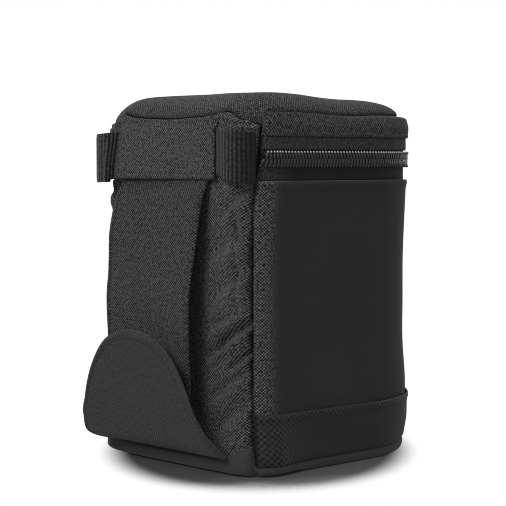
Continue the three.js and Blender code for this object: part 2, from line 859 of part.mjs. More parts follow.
addBase();
addWalls();
addLowerZip();
addUpperZip();
addLid();
addSlider();
addWebbing();
addAnchorPatch();
addStrap();
addFlap();

export default pouch;
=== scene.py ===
"""A padded lens pouch: its cloth, webbing, zip, stitching and padding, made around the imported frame."""

import json
import math
from bisect import bisect_right
from collections import namedtuple

import bmesh
import bpy
from bpy.props import FloatProperty, FloatVectorProperty, PointerProperty
from mathutils import Matrix, Vector, noise


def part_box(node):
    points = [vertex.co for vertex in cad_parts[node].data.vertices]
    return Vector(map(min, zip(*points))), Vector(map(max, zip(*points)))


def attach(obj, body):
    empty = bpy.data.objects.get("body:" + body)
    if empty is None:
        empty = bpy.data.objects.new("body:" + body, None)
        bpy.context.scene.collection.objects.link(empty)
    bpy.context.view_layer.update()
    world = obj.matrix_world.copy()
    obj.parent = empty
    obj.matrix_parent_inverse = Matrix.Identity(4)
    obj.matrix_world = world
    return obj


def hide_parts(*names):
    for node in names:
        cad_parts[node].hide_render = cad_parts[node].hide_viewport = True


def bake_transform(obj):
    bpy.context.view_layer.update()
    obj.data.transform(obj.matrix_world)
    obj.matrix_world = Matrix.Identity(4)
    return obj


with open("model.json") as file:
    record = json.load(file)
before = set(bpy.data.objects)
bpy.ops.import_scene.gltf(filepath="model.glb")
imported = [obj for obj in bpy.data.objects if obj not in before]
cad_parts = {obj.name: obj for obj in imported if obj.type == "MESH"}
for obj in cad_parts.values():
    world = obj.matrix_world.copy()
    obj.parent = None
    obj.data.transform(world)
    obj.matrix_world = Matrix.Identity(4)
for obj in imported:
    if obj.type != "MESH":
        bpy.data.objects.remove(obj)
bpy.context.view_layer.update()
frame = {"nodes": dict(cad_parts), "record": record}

bl_info = {
    "name": "Padded lens pouch",
    "version": (1, 0, 0),
    "blender": (4, 5, 0),
    "location": "3D View > Sidebar > Pouch",
    "description": "Builds a padded pouch with a zipped lid, a belt strap with a flap and webbing loops",
    "category": "Add Mesh",
}

MM = 0.001


def in_mm(rows):
    """A table of lengths that is written in millimetres."""
    return tuple(tuple(value * MM for value in row) for row in rows)


def shade(hex_colour):
    """A linear colour from sRGB hex."""
    channels = [int(hex_colour[i:i + 2], 16) / 255 for i in (0, 2, 4)]
    linear = [c / 12.92 if c <= 0.04045 else ((c + 0.055) / 1.055) ** 2.4 for c in channels]
    return (*linear, 1.0)


def length_property(name, description, millimetres):
    size = millimetres * MM
    return FloatProperty(name=name, description=description, default=size, unit="LENGTH", precision=5)


def colour_property(name, description, hex_colour):
    return FloatVectorProperty(
        name=name, description=description, default=shade(hex_colour), size=4, subtype="COLOR", min=0, max=1
    )


class PouchSizes(bpy.types.PropertyGroup):
    """Sizes of the cloth, thread and zip."""

    cloth: length_property("Cloth", "Thickness of the outer cloth", 0.9)
    lining: length_property("Lining", "Thickness of the lining", 0.7)
    # The threads and ribs are drawn as coarse as they need to be to show in a picture
    thread_spacing: length_property("Thread spacing", "From one thread to the next in the main cloth", 0.72)
    basket_spacing: length_property("Basket spacing", "From one thread to the next in the foot band", 1.4)
    rib_spacing: length_property("Rib spacing", "Spacing of the ribs across the webbing", 2.0)
    stitch_pitch: length_property("Stitch pitch", "From one stitch to the next", 3.0)
    stitch_length: length_property("Stitch length", "Length of one stitch", 2.3)
    stitch_width: length_property("Stitch width", "Thickness of the sewing thread", 0.45)
    tooth_pitch: length_property("Tooth pitch", "From one tooth of a chain half to the next", 2.0)
    wrinkle: length_property("Wrinkle", "Depth of the soft wrinkles in the cloth", 0.45)


class PouchColours(bpy.types.PropertyGroup):
    """Colours of the cloths and fittings."""

    body: colour_property("Body cloth", "Front and side panel", "3e3e3f")
    back: colour_property("Back cloth", "Back panel", "414142")
    lid: colour_property("Lid cloth", "Crown and band of the lid", "343435")
    strap: colour_property("Strap cloth", "Belt strap", "323233")
    patch: colour_property("Patch cloth", "Patch that anchors the strap", "3b3b3b")
    flap: colour_property("Flap cloth", "Flap over the strap's end", "303031")
    band: colour_property("Foot band", "Coarse band round the foot", "222223")
    base: colour_property("Base cloth", "Coated cloth of the base", "303031")
    webbing: colour_property("Webbing", "Ribbed webbing", "242424")
    tape: colour_property("Zip tape", "Woven tape of the zip", "2f2f2f")
    # The zip bends' colour is a painted highlight where the light from above catches the coil's upper bends
    bend: colour_property("Zip bends", "Upper bends of the coil, drawn lighter", "b0b0b2")
    coil: colour_property("Zip coil", "Nylon teeth of the zip", "161617")
    metal: colour_property("Slider", "Slider and pull tab", "262628")
    thread: colour_property("Thread", "Sewing thread", "262626")
    lining: colour_property("Lining", "Brushed lining", "4c4c4f")
    foam: colour_property("Foam", "Foam padding", "3a3a3c")
    pile: colour_property("Pile", "Hook-and-loop pile", "1a1a1a")


# Places taken from the frame

BAND_LOW, BAND_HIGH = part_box("lid_side_band")
WRAP_LOW, WRAP_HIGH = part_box("outer_wrap")
FOOT_LOW, FOOT_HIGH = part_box("reinforcement_band")
BACK_LOW, BACK_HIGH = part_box("back_panel")
CHAIN_LOW, CHAIN_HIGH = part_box("zip_chain_lower")
PATCH_LOW, PATCH_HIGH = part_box("anchor_patch")
STRAP_LOW, STRAP_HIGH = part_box("belt_strap")
FLAP_LOW, FLAP_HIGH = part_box("belt_flap")
WEB_LOW, WEB_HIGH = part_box("loop_webbing")
CHAIN_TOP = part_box("zip_chain_upper")[1].z
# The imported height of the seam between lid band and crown
RIM_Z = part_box("lid_top_panel")[0].z

# Plan of the body
HALF_WIDTH = BAND_HIGH.x
FRONT_Y = BAND_LOW.y
BACK_Y = BACK_HIGH.y
FRONT_CENTRE_Y = -8 * MM
CORNER_RADIUS = 20 * MM
SEAM_TURN = math.radians(40)
BACK_BOW = 4.5 * MM
BOW_POWER = 5
SEAM_Y = BACK_Y - BACK_BOW
CORNER_X = HALF_WIDTH - CORNER_RADIUS
CORNER_Y = SEAM_Y - CORNER_RADIUS * math.sin(SEAM_TURN)
SEAM_X = CORNER_X + CORNER_RADIUS * math.cos(SEAM_TURN)
ZIP_Z = (CHAIN_LOW.z + CHAIN_TOP) / 2
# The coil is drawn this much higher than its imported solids
COIL_RAISED = 0.8 * MM
CHAIN_HEIGHT = CHAIN_TOP - CHAIN_LOW.z + COIL_RAISED
BELT_X = (STRAP_LOW.x + STRAP_HIGH.x) / 2


class Line:
    """A line of places on the plan, measured along it, with the direction out of the cloth at each."""

    def __init__(self, places):
        self.places = places
        self.marks = [0.0]
        for (a, _), (b, _) in zip(places, places[1:]):
            self.marks.append(self.marks[-1] + (b - a).length)
        self.length = self.marks[-1]

    def at(self, length):
        """The place and the direction out at a length, carried on straight past either end."""
        i = min(max(bisect_right(self.marks, length) - 1, 0), len(self.places) - 2)
        share = (length - self.marks[i]) / (self.marks[i + 1] - self.marks[i])
        (a, out_a), (b, out_b) = self.places[i], self.places[i + 1]
        spot = a.lerp(b, share) if 0 <= share <= 1 else a + (b - a) * share
        return spot, out_a.lerp(out_b, share).normalized()


def half_wall():
    """Places from the middle of the front to the right corner seam."""
    steps = 60
    reach = FRONT_CENTRE_Y - FRONT_Y
    places = []
    for i in range(steps):
        turn = math.pi / 2 * i / steps
        point = Vector((HALF_WIDTH * math.sin(turn), FRONT_CENTRE_Y - reach * math.cos(turn)))
        out = Vector((math.sin(turn) / HALF_WIDTH, -math.cos(turn) / reach)).normalized()
        places.append((point, out))
    places.append((Vector((HALF_WIDTH, FRONT_CENTRE_Y)), Vector((1, 0))))
    for i in range(steps + 1):
        turn = SEAM_TURN * i / steps
        out = Vector((math.cos(turn), math.sin(turn)))
        places.append((Vector((CORNER_X, CORNER_Y)) + out * CORNER_RADIUS, out))
    return places


def bow(x):
    return BACK_BOW * (1 - min(1, abs(x) / SEAM_X) ** BOW_POWER)


def back_places():
    """Places along the back, from the right corner seam to the left one."""
    steps = 120
    places = []
    for i in range(steps + 1):
        share = math.cos(math.pi * i / steps)
        slope = -BACK_BOW * BOW_POWER * math.copysign(abs(share) ** (BOW_POWER - 1), share) / SEAM_X
        point = Vector((SEAM_X * share, SEAM_Y + bow(SEAM_X * share)))
        places.append((point, Vector((-slope, 1)).normalized()))
    return places


RIGHT_HALF = half_wall()
LEFT_HALF = [(Vector((-p.x, p.y)), Vector((-out.x, out.y))) for p, out in reversed(RIGHT_HALF[1:])]
WALL = Line(LEFT_HALF + RIGHT_HALF)
BACK = Line(back_places())
ROUND = Line(WALL.places + BACK.places[1:])


# How far the corner seams wander onto the wall's side of each corner, by height
SEAM_SHIFTS = in_mm(((0, 1.0), (20, -0.4), (60, -1.4), (112, -1.4), (136, 0.2), (147, 2.4), (167, 4.6)))


def smoothstep(low, high, value):
    share = min(max((value - low) / (high - low), 0), 1)
    return share * share * (3 - 2 * share)


def hump(distance, width):
    return math.exp(-((distance / width) ** 2))


def between(pair, share):
    return pair[0] + (pair[1] - pair[0]) * share


def shares_at(rows, place):
    """A value read off a table of (place, value) pairs, smoothed between them."""
    for (a, start), (b, end) in zip(rows, rows[1:]):
        if place <= b:
            return start + (end - start) * smoothstep(a, b, place)
    return rows[-1][1]


def wall_span(z):
    """Where the wall's cloth starts and ends along the outline at a height."""
    shift = shares_at(SEAM_SHIFTS, z)
    return shift, WALL.length - shift


def back_span(z):
    start, end = wall_span(z)
    return end, ROUND.length + start


def along_span(span, share):
    """The length along the outline at a share of a span, and how far it is from the nearer seam."""
    start, end = span
    return start + (end - start) * share, min(share, 1 - share) * (end - start)


def ring_side(length, z):
    """Whether a length is on the wall at a height, and how far it is from the nearer seam."""
    start, end = wall_span(z)
    return start <= length <= end, min(abs(length - seam) for seam in (start, end, ROUND.length + start))


def round_point(length, z, out_by):
    point, out = ROUND.at(length % ROUND.length)
    return Vector((*(point + out * out_by), z))


def rumple(x, y, waves):
    """Soft unevenness of cloth, from -1 to 1, the same on each run. waves gives their size and a seed."""
    size, seed = waves
    return noise.noise(Vector((x / size, y / size, seed)))


# Meshes

MERGE_DISTANCE = 0.005 * MM
POLE_MERGE_DISTANCE = 0.02 * MM
SOLID_MERGE_DISTANCE = 0.01 * MM
SURFACE_STEP_SHARE = 0.001
STITCH_LIFT_SHARE = 0.1
SEWING_SAMPLES = 200
PATH_STEPS_PER_SPAN = 24


def sheet(columns, rows, place, chart, crowd=0.0):
    """A grid bent into place. place and chart give the point and the cloth's own flat place, in metres,
    for shares u and v from 0 to 1. crowd, below 1, draws the columns together towards both ends."""
    bm = bmesh.new()
    bmesh.ops.create_grid(bm, x_segments=columns, y_segments=rows, size=0.5)
    layer = bm.loops.layers.uv.new("Cloth")
    shares = []
    for vert in bm.verts:
        u = vert.co.x + 0.5
        shares.append((u - crowd * math.sin(2 * math.pi * u) / (2 * math.pi), vert.co.y + 0.5))
    for face in bm.faces:
        for loop in face.loops:
            loop[layer].uv = chart(*shares[loop.vert.index])
    for vert, (u, v) in zip(bm.verts, shares):
        vert.co = place(u, v)
    return bm


def flat_chart(width, height):
    return lambda u, v: (u * width, v * height)


def round_edges(piece, width, segments, angle):
    edge = piece.modifiers.new("Rounded edges", "BEVEL")
    edge.width = width
    edge.segments = segments
    edge.limit_method = "ANGLE"
    edge.angle_limit = math.radians(angle)


def add_object(name, data):
    thing = bpy.data.objects.new(name, data)
    bpy.context.scene.collection.objects.link(thing)
    return thing


def add_piece(name, bm, finish, body, *replaced, slot=None, thickness=0.0, bevel=0.0):
    """Turns a bmesh into a finished piece that rides on a body and stands for the replaced nodes. slot is not
    used."""
    slot = slot or finish
    bmesh.ops.remove_doubles(bm, verts=bm.verts, dist=MERGE_DISTANCE)
    mesh = bpy.data.meshes.new(name)
    bm.to_mesh(mesh)
    bm.free()
    mesh.shade_smooth()
    mesh.materials.append(MATERIALS[finish])
    piece = add_object(name, mesh)
    if thickness:
        wall = piece.modifiers.new("Thickness", "SOLIDIFY")
        wall.thickness = thickness
        wall.offset = -1
        wall.use_even_offset = False
    if bevel:
        round_edges(piece, bevel, 2, 50)
    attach(piece, body)
    if replaced:
        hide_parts(*replaced)
    return piece


def surface_at(place, u, v):
    """The point on a sheet and the direction out of it."""
    step = SURFACE_STEP_SHARE
    across = place(u + step, v) - place(u - step, v)
    up = place(u, v + step) - place(u, v - step)
    return place(u, v), across.cross(up).normalized()


def bead():
    """A small round shape, made once, of which stitches and zip teeth are stretched copies."""
    mesh = bpy.data.meshes.get("bead")
    if mesh is None:
        mesh = bpy.data.meshes.new("bead")
        bm = bmesh.new()
        bmesh.ops.create_uvsphere(bm, u_segments=8, v_segments=6, radius=1)
        bm.to_mesh(mesh)
        bm.free()
    return mesh


def add_bead(bm, middle, along, out, radii):
    """A bead whose radii run along, sideways and out."""
    side = out.cross(along).normalized()
    turn = Matrix((along, side, out)).transposed().to_4x4()
    copy = bead().copy()
    copy.transform(Matrix.Translation(middle) @ turn @ Matrix.Diagonal((*radii, 1)))
    bm.from_mesh(copy)
    bpy.data.meshes.remove(copy)


def stitch(bm, point, along, out, sizes):
    """One stitch: a short bead of thread half sunk in the cloth."""
    radii = (sizes.stitch_length / 2, sizes.stitch_width / 2, sizes.stitch_width / 2)
    add_bead(bm, point + out * sizes.stitch_width * STITCH_LIFT_SHARE, along, out, radii)


def sew(bm, place, path, sizes):
    """Stitches along a path on a sheet. path gives (u, v) for a share from 0 to 1."""
    samples = SEWING_SAMPLES
    points = [place(*path(i / samples)) for i in range(samples + 1)]
    marks = [0.0]
    for a, b in zip(points, points[1:]):
        marks.append(marks[-1] + (b - a).length)
    count = max(1, int(marks[-1] / sizes.stitch_pitch))
    for k in range(count):
        length = (k + 0.5) * marks[-1] / count
        i = min(bisect_right(marks, length) - 1, samples - 1)
        share = (length - marks[i]) / max(marks[i + 1] - marks[i], 1e-9)
        u, v = path((i + share) / samples)
        point, out = surface_at(place, u, v)
        along = points[i + 1] - points[i]
        along = (along - out * along.dot(out)).normalized()
        stitch(bm, point, along, out, sizes)


def smooth_path(points, count):
    """Evenly spaced points on a smooth curve through the given ones."""
    dense = []
    ends = [points[0], *points, points[-1]]
    for a, b, c, d in zip(ends, ends[1:], ends[2:], ends[3:]):
        for k in range(PATH_STEPS_PER_SPAN):
            t = k / PATH_STEPS_PER_SPAN
            dense.append((b * 2 + (c - a) * t + (a * 2 - b * 5 + c * 4 - d) * t ** 2
                          + (b * 3 - a - c * 3 + d) * t ** 3) / 2)
    dense.append(points[-1])
    line = Line([(p, Vector((0, 1))) for p in dense])
    return [line.at(line.length * i / count)[0] for i in range(count + 1)]


def path_at(points, share):
    """The place and direction on a path of evenly spaced points."""
    spans = len(points) - 1
    i = min(max(int(share * spans), 0), spans - 1)
    along = (points[min(i + 2, spans)] - points[max(i - 1, 0)]).normalized()
    return points[i] + (points[i + 1] - points[i]) * (share * spans - i), along


# Materials

Weave = namedtuple("Weave", "relief roughness contrast slub crispness")
# How far from its seams a stretched cloth begins to be pressed smooth and is quite smooth, and its tone
# there, a painted shade for the light that falls off away from the lit corner
PressedAndShaded = namedtuple("PressedAndShaded", "begins complete tone")

PLAIN_WEAVE = Weave(relief=0.5 * MM, roughness=0.8, contrast=0.95, slub=0.95, crispness=1.6)
FLAP_WEAVE = Weave(relief=0.16 * MM, roughness=0.8, contrast=0.3, slub=0.35, crispness=1.6)
BASKET_WEAVE = Weave(relief=0.3 * MM, roughness=0.6, contrast=0.5, slub=0.4, crispness=1.8)
COATED_WEAVE = Weave(relief=0.08 * MM, roughness=0.65, contrast=0.15, slub=0.2, crispness=1.6)
TAPE_WEAVE = Weave(relief=0.2 * MM, roughness=0.85, contrast=0.7, slub=0.7, crispness=1.6)
SMOOTH_TAPE_WEAVE = Weave(relief=0.2 * MM, roughness=0.85, contrast=0.5, slub=0.6, crispness=1.6)
RIBS = Weave(relief=0.7 * MM, roughness=0.7, contrast=0.97, slub=0.8, crispness=0.86)

# The tones here are painted shade: wall, foot band and lower tape are drawn darker away from the lit corner
PRESSED_AND_SHADED = PressedAndShaded(4 * MM, 16 * MM, 0.34)
BAND_PRESSED_AND_SHADED = PressedAndShaded(9 * MM, 34 * MM, 0.92)
TAPE_PRESSED_AND_SHADED = PressedAndShaded(8 * MM, 24 * MM, 0.47)
# How far the threads still show where the cloth is pressed, and on a doubled hem
PRESSED_STRENGTH = 0.06
HEM_STRENGTH = 0.75
HEM_FADE = 0.6 * MM

# Threads wander by DRIFT over DRIFT_SIZE, and yarns and the cloth's shade change over the other two sizes
DRIFT = 0.9 * MM
DRIFT_SIZE = 9 * MM
YARN_SIZE = 1.3 * MM
SHADE_SIZE = 24 * MM
YARN_RANGE = (0.3, 0.7)
SHADE_SHARES = (0.86, 1.14)
FUZZ_SHARE = 0.5

# Painted seam shade: how far from a cloth's ends it is darkest and where it is gone, and the share of the
# colour left where darkest; on the webbing it reaches further, where the loops turn from the light
SEAM_SHADE_REACH = (0.4 * MM, 2.2 * MM)
LOOP_SHADE_REACH = (0, 16 * MM)
SEAM_SHADE_SHARE = 0.12
# The ribs' cross threads, as shares of their spacing and of their height
CROSS_SPACING_SHARE = 0.6
CROSS_HEIGHT_SHARE = 0.07

TRICOT = (0.8 * MM, 0.1 * MM)
FOAM_SKIN = (1.2 * MM, 0.12 * MM)
PILE = (0.7 * MM, 0.4 * MM)
RIPPLE_SIZE = 1.5 * MM
RIPPLE_DEPTH = 0.02 * MM
RIPPLE_SHARES = (0.85, 1.15)
# Where the painted highlight on the coil's upper bends starts, as a share of half its height
BEND_HIGHLIGHT_START_SHARE = 0.72


def add_node(tree, kind, inputs=None, **settings):
    """A node with its settings, and its inputs set or linked."""
    node = tree.nodes.new(kind)
    for name, value in settings.items():
        setattr(node, name, value)
    for key, value in (inputs or {}).items():
        if isinstance(value, bpy.types.NodeSocket):
            tree.links.new(value, node.inputs[key])
        else:
            node.inputs[key].default_value = value
    return node


def maths(tree, operation, *values, **settings):
    node = add_node(tree, "ShaderNodeMath", dict(enumerate(values)), operation=operation, **settings)
    return node.outputs[0]


def vector_maths(tree, operation, *values):
    return add_node(tree, "ShaderNodeVectorMath", dict(enumerate(values)), operation=operation).outputs[0]


def scaled(tree, vector, scale):
    return add_node(tree, "ShaderNodeVectorMath", {0: vector, "Scale": scale}, operation="SCALE").outputs[0]


def mapped(tree, value, source, target=(0, 1), smooth=False):
    """A value carried from one range into another, and kept inside it."""
    ranges = {"From Min": source[0], "From Max": source[1], "To Min": target[0], "To Max": target[1]}
    kind = "SMOOTHSTEP" if smooth else "LINEAR"
    node = add_node(tree, "ShaderNodeMapRange", {"Value": value, **ranges}, interpolation_type=kind)
    return node.outputs[0]


def noise_at(tree, place, size, detail):
    inputs = {"Vector": place, "Scale": 1 / size, "Detail": detail}
    return add_node(tree, "ShaderNodeTexNoise", inputs).outputs


def axes(tree, vector):
    return add_node(tree, "ShaderNodeSeparateXYZ", {0: vector}).outputs


def cloth_map(tree):
    return add_node(tree, "ShaderNodeUVMap", uv_map="Cloth").outputs[0]


def object_place(tree):
    return add_node(tree, "ShaderNodeTexCoord").outputs["Object"]


def around(amount):
    return 1 - amount, 1 + amount


def add_bump(tree, shader, height, relief, strength=1.0):
    bump = add_node(tree, "ShaderNodeBump", {"Height": height, "Distance": relief, "Strength": strength})
    tree.links.new(bump.outputs[0], shader.inputs["Normal"])


def new_material(name, roughness, specular=0.5, metallic=0.0):
    material = bpy.data.materials.new(name)
    material.use_nodes = True
    shader = material.node_tree.nodes["Principled BSDF"]
    shader.inputs["Roughness"].default_value = roughness
    shader.inputs["Specular IOR Level"].default_value = specular
    shader.inputs["Metallic"].default_value = metallic
    return material, material.node_tree, shader


def wave_socket(tree, coordinate, half_period):
    """A sine that changes sign from one thread to the next."""
    return maths(tree, "SINE", maths(tree, "MULTIPLY", coordinate, math.pi / half_period))


def cloth_place(tree):
    """The cloth's own flat place, pushed about a little, as woven threads aren't quite even."""
    flat = cloth_map(tree)
    drift = noise_at(tree, flat, DRIFT_SIZE, 2.0)["Color"]
    centred = vector_maths(tree, "SUBTRACT", drift, (0.5, 0.5, 0.5))
    return vector_maths(tree, "ADD", flat, scaled(tree, centred, DRIFT))


def finish_cloth(tree, shader, colour, height, flat, relief, contrast, slub=0.5, strength=1.0,
                 painted_shade_tone=None):
    """Colour and relief from a height between 0 and 1, with uneven yarns and a slow change of shade.
    strength, from 0 to 1, says how far the threads show at each place, and painted_shade_tone is the painted
    shade that darkens the cloth where they don't."""
    yarn = noise_at(tree, flat, YARN_SIZE, 2.0)["Fac"]
    threads = mapped(tree, height, (0, 1), around(contrast))
    tone = maths(tree, "MULTIPLY", threads, mapped(tree, yarn, YARN_RANGE, around(slub)))
    # Where the threads don't show, the colour takes the painted shade
    if painted_shade_tone is not None:
        tone = add_node(tree, "ShaderNodeMix", {"Factor": strength, "A": painted_shade_tone, "B": tone}).outputs[0]
    slow = mapped(tree, noise_at(tree, flat, SHADE_SIZE, 3.0)["Fac"], (0, 1), SHADE_SHARES)
    tinted = scaled(tree, tuple(colour)[:3], maths(tree, "MULTIPLY", tone, slow))
    tree.links.new(tinted, shader.inputs["Base Color"])
    add_bump(tree, shader, maths(tree, "MULTIPLY_ADD", yarn, FUZZ_SHARE, height), relief, strength)


def from_ends(tree, flat, width):
    """How far a place is from the nearer of the cloth's two ends."""
    from_middle = maths(tree, "ABSOLUTE", maths(tree, "SUBTRACT", axes(tree, flat)[0], width / 2))
    return maths(tree, "SUBTRACT", width / 2, from_middle)


def shade_in_seams(tree, shader, width, reach):
    """Less light gets down to the cloth in the seams at its two ends, which the thread pulls tight shut."""
    depth = mapped(tree, from_ends(tree, cloth_map(tree), width), reach, (SEAM_SHADE_SHARE, 1), smooth=True)
    colour = shader.inputs["Base Color"].links[0].from_socket
    tree.links.new(scaled(tree, colour, depth), shader.inputs["Base Color"])


def pressed_strength(tree, flat, width, pressed_and_shaded, hem):
    """How far the threads show on a cloth that is stretched smooth between its seams, but not on its hem."""
    ends = from_ends(tree, flat, width)
    strength = mapped(tree, ends, (pressed_and_shaded.complete, pressed_and_shaded.begins), (PRESSED_STRENGTH, 1), smooth=True)
    if hem:
        on_hem = mapped(tree, axes(tree, flat)[1], (hem - HEM_FADE, hem), (0, HEM_STRENGTH))
        strength = maths(tree, "MAXIMUM", strength, on_hem)
    return strength


def woven(name, colour, spacing, weave, width=0, pressed_and_shaded=None, hem=None):
    """Plain woven nylon: warp and weft pass over and under each other in a fine chequer of raised threads.
    A high crispness squares the threads off, as in a coarse basket weave of flat doubled yarns. width is that
    of a cloth sewn into a seam at either end, pressed_and_shaded says where it is stretched smooth and
    painted in shade over its padding, and hem is the height above which a doubled edge shows its threads all
    the same."""
    material, tree, shader = new_material(name, weave.roughness, 0.1)
    flat = cloth_place(tree)
    split = axes(tree, flat)
    warp, weft = (wave_socket(tree, split[k], spacing) for k in (0, 1))
    crossing = maths(tree, "MULTIPLY", warp, weft)
    sharp = maths(tree, "MULTIPLY_ADD", crossing, weave.crispness / 2, 0.5, use_clamp=True)
    strength = pressed_strength(tree, flat, width, pressed_and_shaded, hem) if pressed_and_shaded else 1.0
    painted_shade_tone = pressed_and_shaded.tone if pressed_and_shaded else None
    finish_cloth(tree, shader, colour, sharp, flat, weave.relief, weave.contrast, weave.slub, strength,
                 painted_shade_tone)
    if width:
        shade_in_seams(tree, shader, width, SEAM_SHADE_REACH)
    shader.inputs["Sheen Weight"].default_value = 0.08
    shader.inputs["Sheen Roughness"].default_value = 0.4
    return material


def ribbed(name, colour, spacing, weave, width):
    """Nylon webbing: round ribs across its length, each broken into short floats by the weft."""
    material, tree, shader = new_material(name, weave.roughness, 0.12)
    flat = cloth_place(tree)
    split = axes(tree, flat)
    rib = wave_socket(tree, split[0], spacing / 2)
    cross = wave_socket(tree, split[1], spacing * CROSS_SPACING_SHARE)
    broken = maths(tree, "MULTIPLY_ADD", cross, CROSS_HEIGHT_SHARE, 0.5)
    height = maths(tree, "MULTIPLY_ADD", rib, weave.crispness / 2, broken)
    finish_cloth(tree, shader, colour, height, flat, weave.relief, weave.contrast, weave.slub)
    shade_in_seams(tree, shader, width, LOOP_SHADE_REACH)
    shader.inputs["Sheen Weight"].default_value = 0.06
    return material


def brushed(name, colour, tufts):
    """Brushed or cut fibres with no weave to see: tricot lining, foam skin or hook-and-loop pile."""
    grain, relief = tufts
    material, tree, shader = new_material(name, 0.95, 0.2)
    flat = object_place(tree)
    finish_cloth(tree, shader, colour, noise_at(tree, flat, grain, 4.0)["Fac"], flat, relief, 0.3)
    shader.inputs["Sheen Weight"].default_value = 0.12
    return material


def moulded(name, colour, roughness, metallic=0.0, specular=0.5):
    """Smooth nylon monofilament or painted zinc: even colour, with the faint ripple of its mould or rolls."""
    material, tree, shader = new_material(name, roughness, specular, metallic)
    ripple = noise_at(tree, object_place(tree), RIPPLE_SIZE, 3.0)["Fac"]
    tone = mapped(tree, ripple, (0, 1), RIPPLE_SHARES)
    tree.links.new(scaled(tree, tuple(colour)[:3], tone), shader.inputs["Base Color"])
    add_bump(tree, shader, ripple, RIPPLE_DEPTH)
    return material


def coil_nylon(name, colour, painted_highlight):
    """The coil's nylon. Its upper bends are drawn lighter than its legs: a painted highlight where the light
    from above catches them.
    """
    material = moulded(name, colour, 0.2, 0.0, 0.3)
    tree = material.node_tree
    half = CHAIN_HEIGHT / 2
    bend = mapped(tree, axes(tree, object_place(tree))[2], (ZIP_Z + half * BEND_HIGHLIGHT_START_SHARE, ZIP_Z + half))
    target = tree.nodes["Principled BSDF"].inputs["Base Color"]
    plain = target.links[0].from_socket
    lit = add_node(tree, "ShaderNodeMix", {"Factor": bend, "A": plain, "B": tuple(painted_highlight)}, data_type="RGBA")
    tree.links.new(lit.outputs[2], target)
    return material


MATERIALS = {}


def make_materials(sizes, colours):
    """Every finish on the pouch, by the name of its material slot or of its cloth."""
    thread = sizes.thread_spacing
    wall, back, web = WALL.length, BACK.length, web_path().length
    band_hem = FOOT_HIGH.z - FOOT_LOW.z - BAND_HEM_SHOWN
    MATERIALS.update({
        "body_nylon": woven("Plain weave nylon, body", colours.body, thread, PLAIN_WEAVE, wall, PRESSED_AND_SHADED),
        "back_nylon": woven("Plain weave nylon, back", colours.back, thread, PLAIN_WEAVE, back),
        "lid_nylon": woven("Plain weave nylon, lid", colours.lid, thread, PLAIN_WEAVE),
        "strap_nylon": woven("Plain weave nylon, strap", colours.strap, thread, PLAIN_WEAVE),
        "patch_nylon": woven("Plain weave nylon, patch", colours.patch, thread, PLAIN_WEAVE),
        "flap_nylon": woven("Plain weave nylon, flap", colours.flap, thread, FLAP_WEAVE),
        "ballistic_nylon": woven("Basket weave nylon", colours.band, sizes.basket_spacing, BASKET_WEAVE, wall,
                                 BAND_PRESSED_AND_SHADED, band_hem),
        "base_nylon": woven("Coated nylon", colours.base, thread, COATED_WEAVE),
        "webbing": ribbed("Ribbed nylon webbing", colours.webbing, sizes.rib_spacing, RIBS, web),
        "zip_tape": woven("Woven zip tape", colours.tape, thread, TAPE_WEAVE, wall),
        "smooth_tape": woven("Woven zip tape, lower", colours.tape, thread, SMOOTH_TAPE_WEAVE, wall,
                             TAPE_PRESSED_AND_SHADED),
        "lining_cloth": brushed("Brushed tricot lining", colours.lining, TRICOT),
        "closed_cell_foam": brushed("Closed-cell foam", colours.foam, FOAM_SKIN),
        "hook_and_loop": brushed("Hook-and-loop pile", colours.pile, PILE),
        "board_plastic": moulded("Polypropylene board", colours.base, 0.6),
        "coil_plastic": coil_nylon("Nylon monofilament coil", colours.coil, colours.bend),
        "slider_metal": moulded("Painted zinc die-casting", colours.metal, 0.38, 0.6),
        "thread": moulded("Bonded nylon thread", colours.thread, 0.7, 0.0, 0.15),
    })


# Forms of the body

SEAM_DEPTH = 3.4 * MM
SEAM_WIDTH = 1.7 * MM
# How far the columns of cloth draw together beside a seam
SEAM_CROWD = 0.75
SHOULDER = 1.3 * MM
SHOULDER_AT = 9 * MM
SHOULDER_WIDTH = 6 * MM
PUCKER = 0.5 * MM
PUCKER_SIZE = 8 * MM
PUCKER_REACH = 7 * MM
PUCKER_ROW = 10 * MM
# How much narrower than its foot the body is half way up, all round the front
WAIST = 1.6 * MM
WAIST_POWER = 0.7
# The wall takes its own form this far from the seams
FORM_REACH = 40 * MM
WALL_WAVES = (34 * MM, 3.0)
# How far the padding pushes the foot out at the back and round the two back corners, and between which
# heights and distances from the seam
FOOT_PUSH = 3.0 * MM
FOOT_PUSH_HEIGHTS = (30 * MM, 9 * MM)
FOOT_PUSH_REACH = (3 * MM, 34 * MM)
FOOT_BULGE = 1.2 * MM
FOOT_BULGE_Z = 34 * MM
FOOT_BULGE_HEIGHT = 16 * MM
# How far the foot tucks in above the base, away from the corner seams
FOOT_TUCK = 2.0 * MM
FOOT_TUCK_REACH = (25 * MM, 90 * MM)
FOOT_TUCK_HEIGHTS = (4 * MM, 18 * MM)


def seam_form(from_seam, z, side):
    """Cloth swells beside a corner seam and dives into it, with small puckers along the thread."""
    tuck = -SEAM_DEPTH * hump(from_seam, SEAM_WIDTH)
    shoulder = SHOULDER * hump(from_seam - SHOULDER_AT, SHOULDER_WIDTH)
    pucker = PUCKER * rumple(z, side * PUCKER_ROW, (PUCKER_SIZE, side)) * hump(from_seam, PUCKER_REACH)
    return tuck + shoulder + pucker


def foot_push(z, from_seam, on_wall):
    push = FOOT_PUSH * smoothstep(*FOOT_PUSH_HEIGHTS, z)
    return push * (1 - smoothstep(*FOOT_PUSH_REACH, from_seam)) if on_wall else push


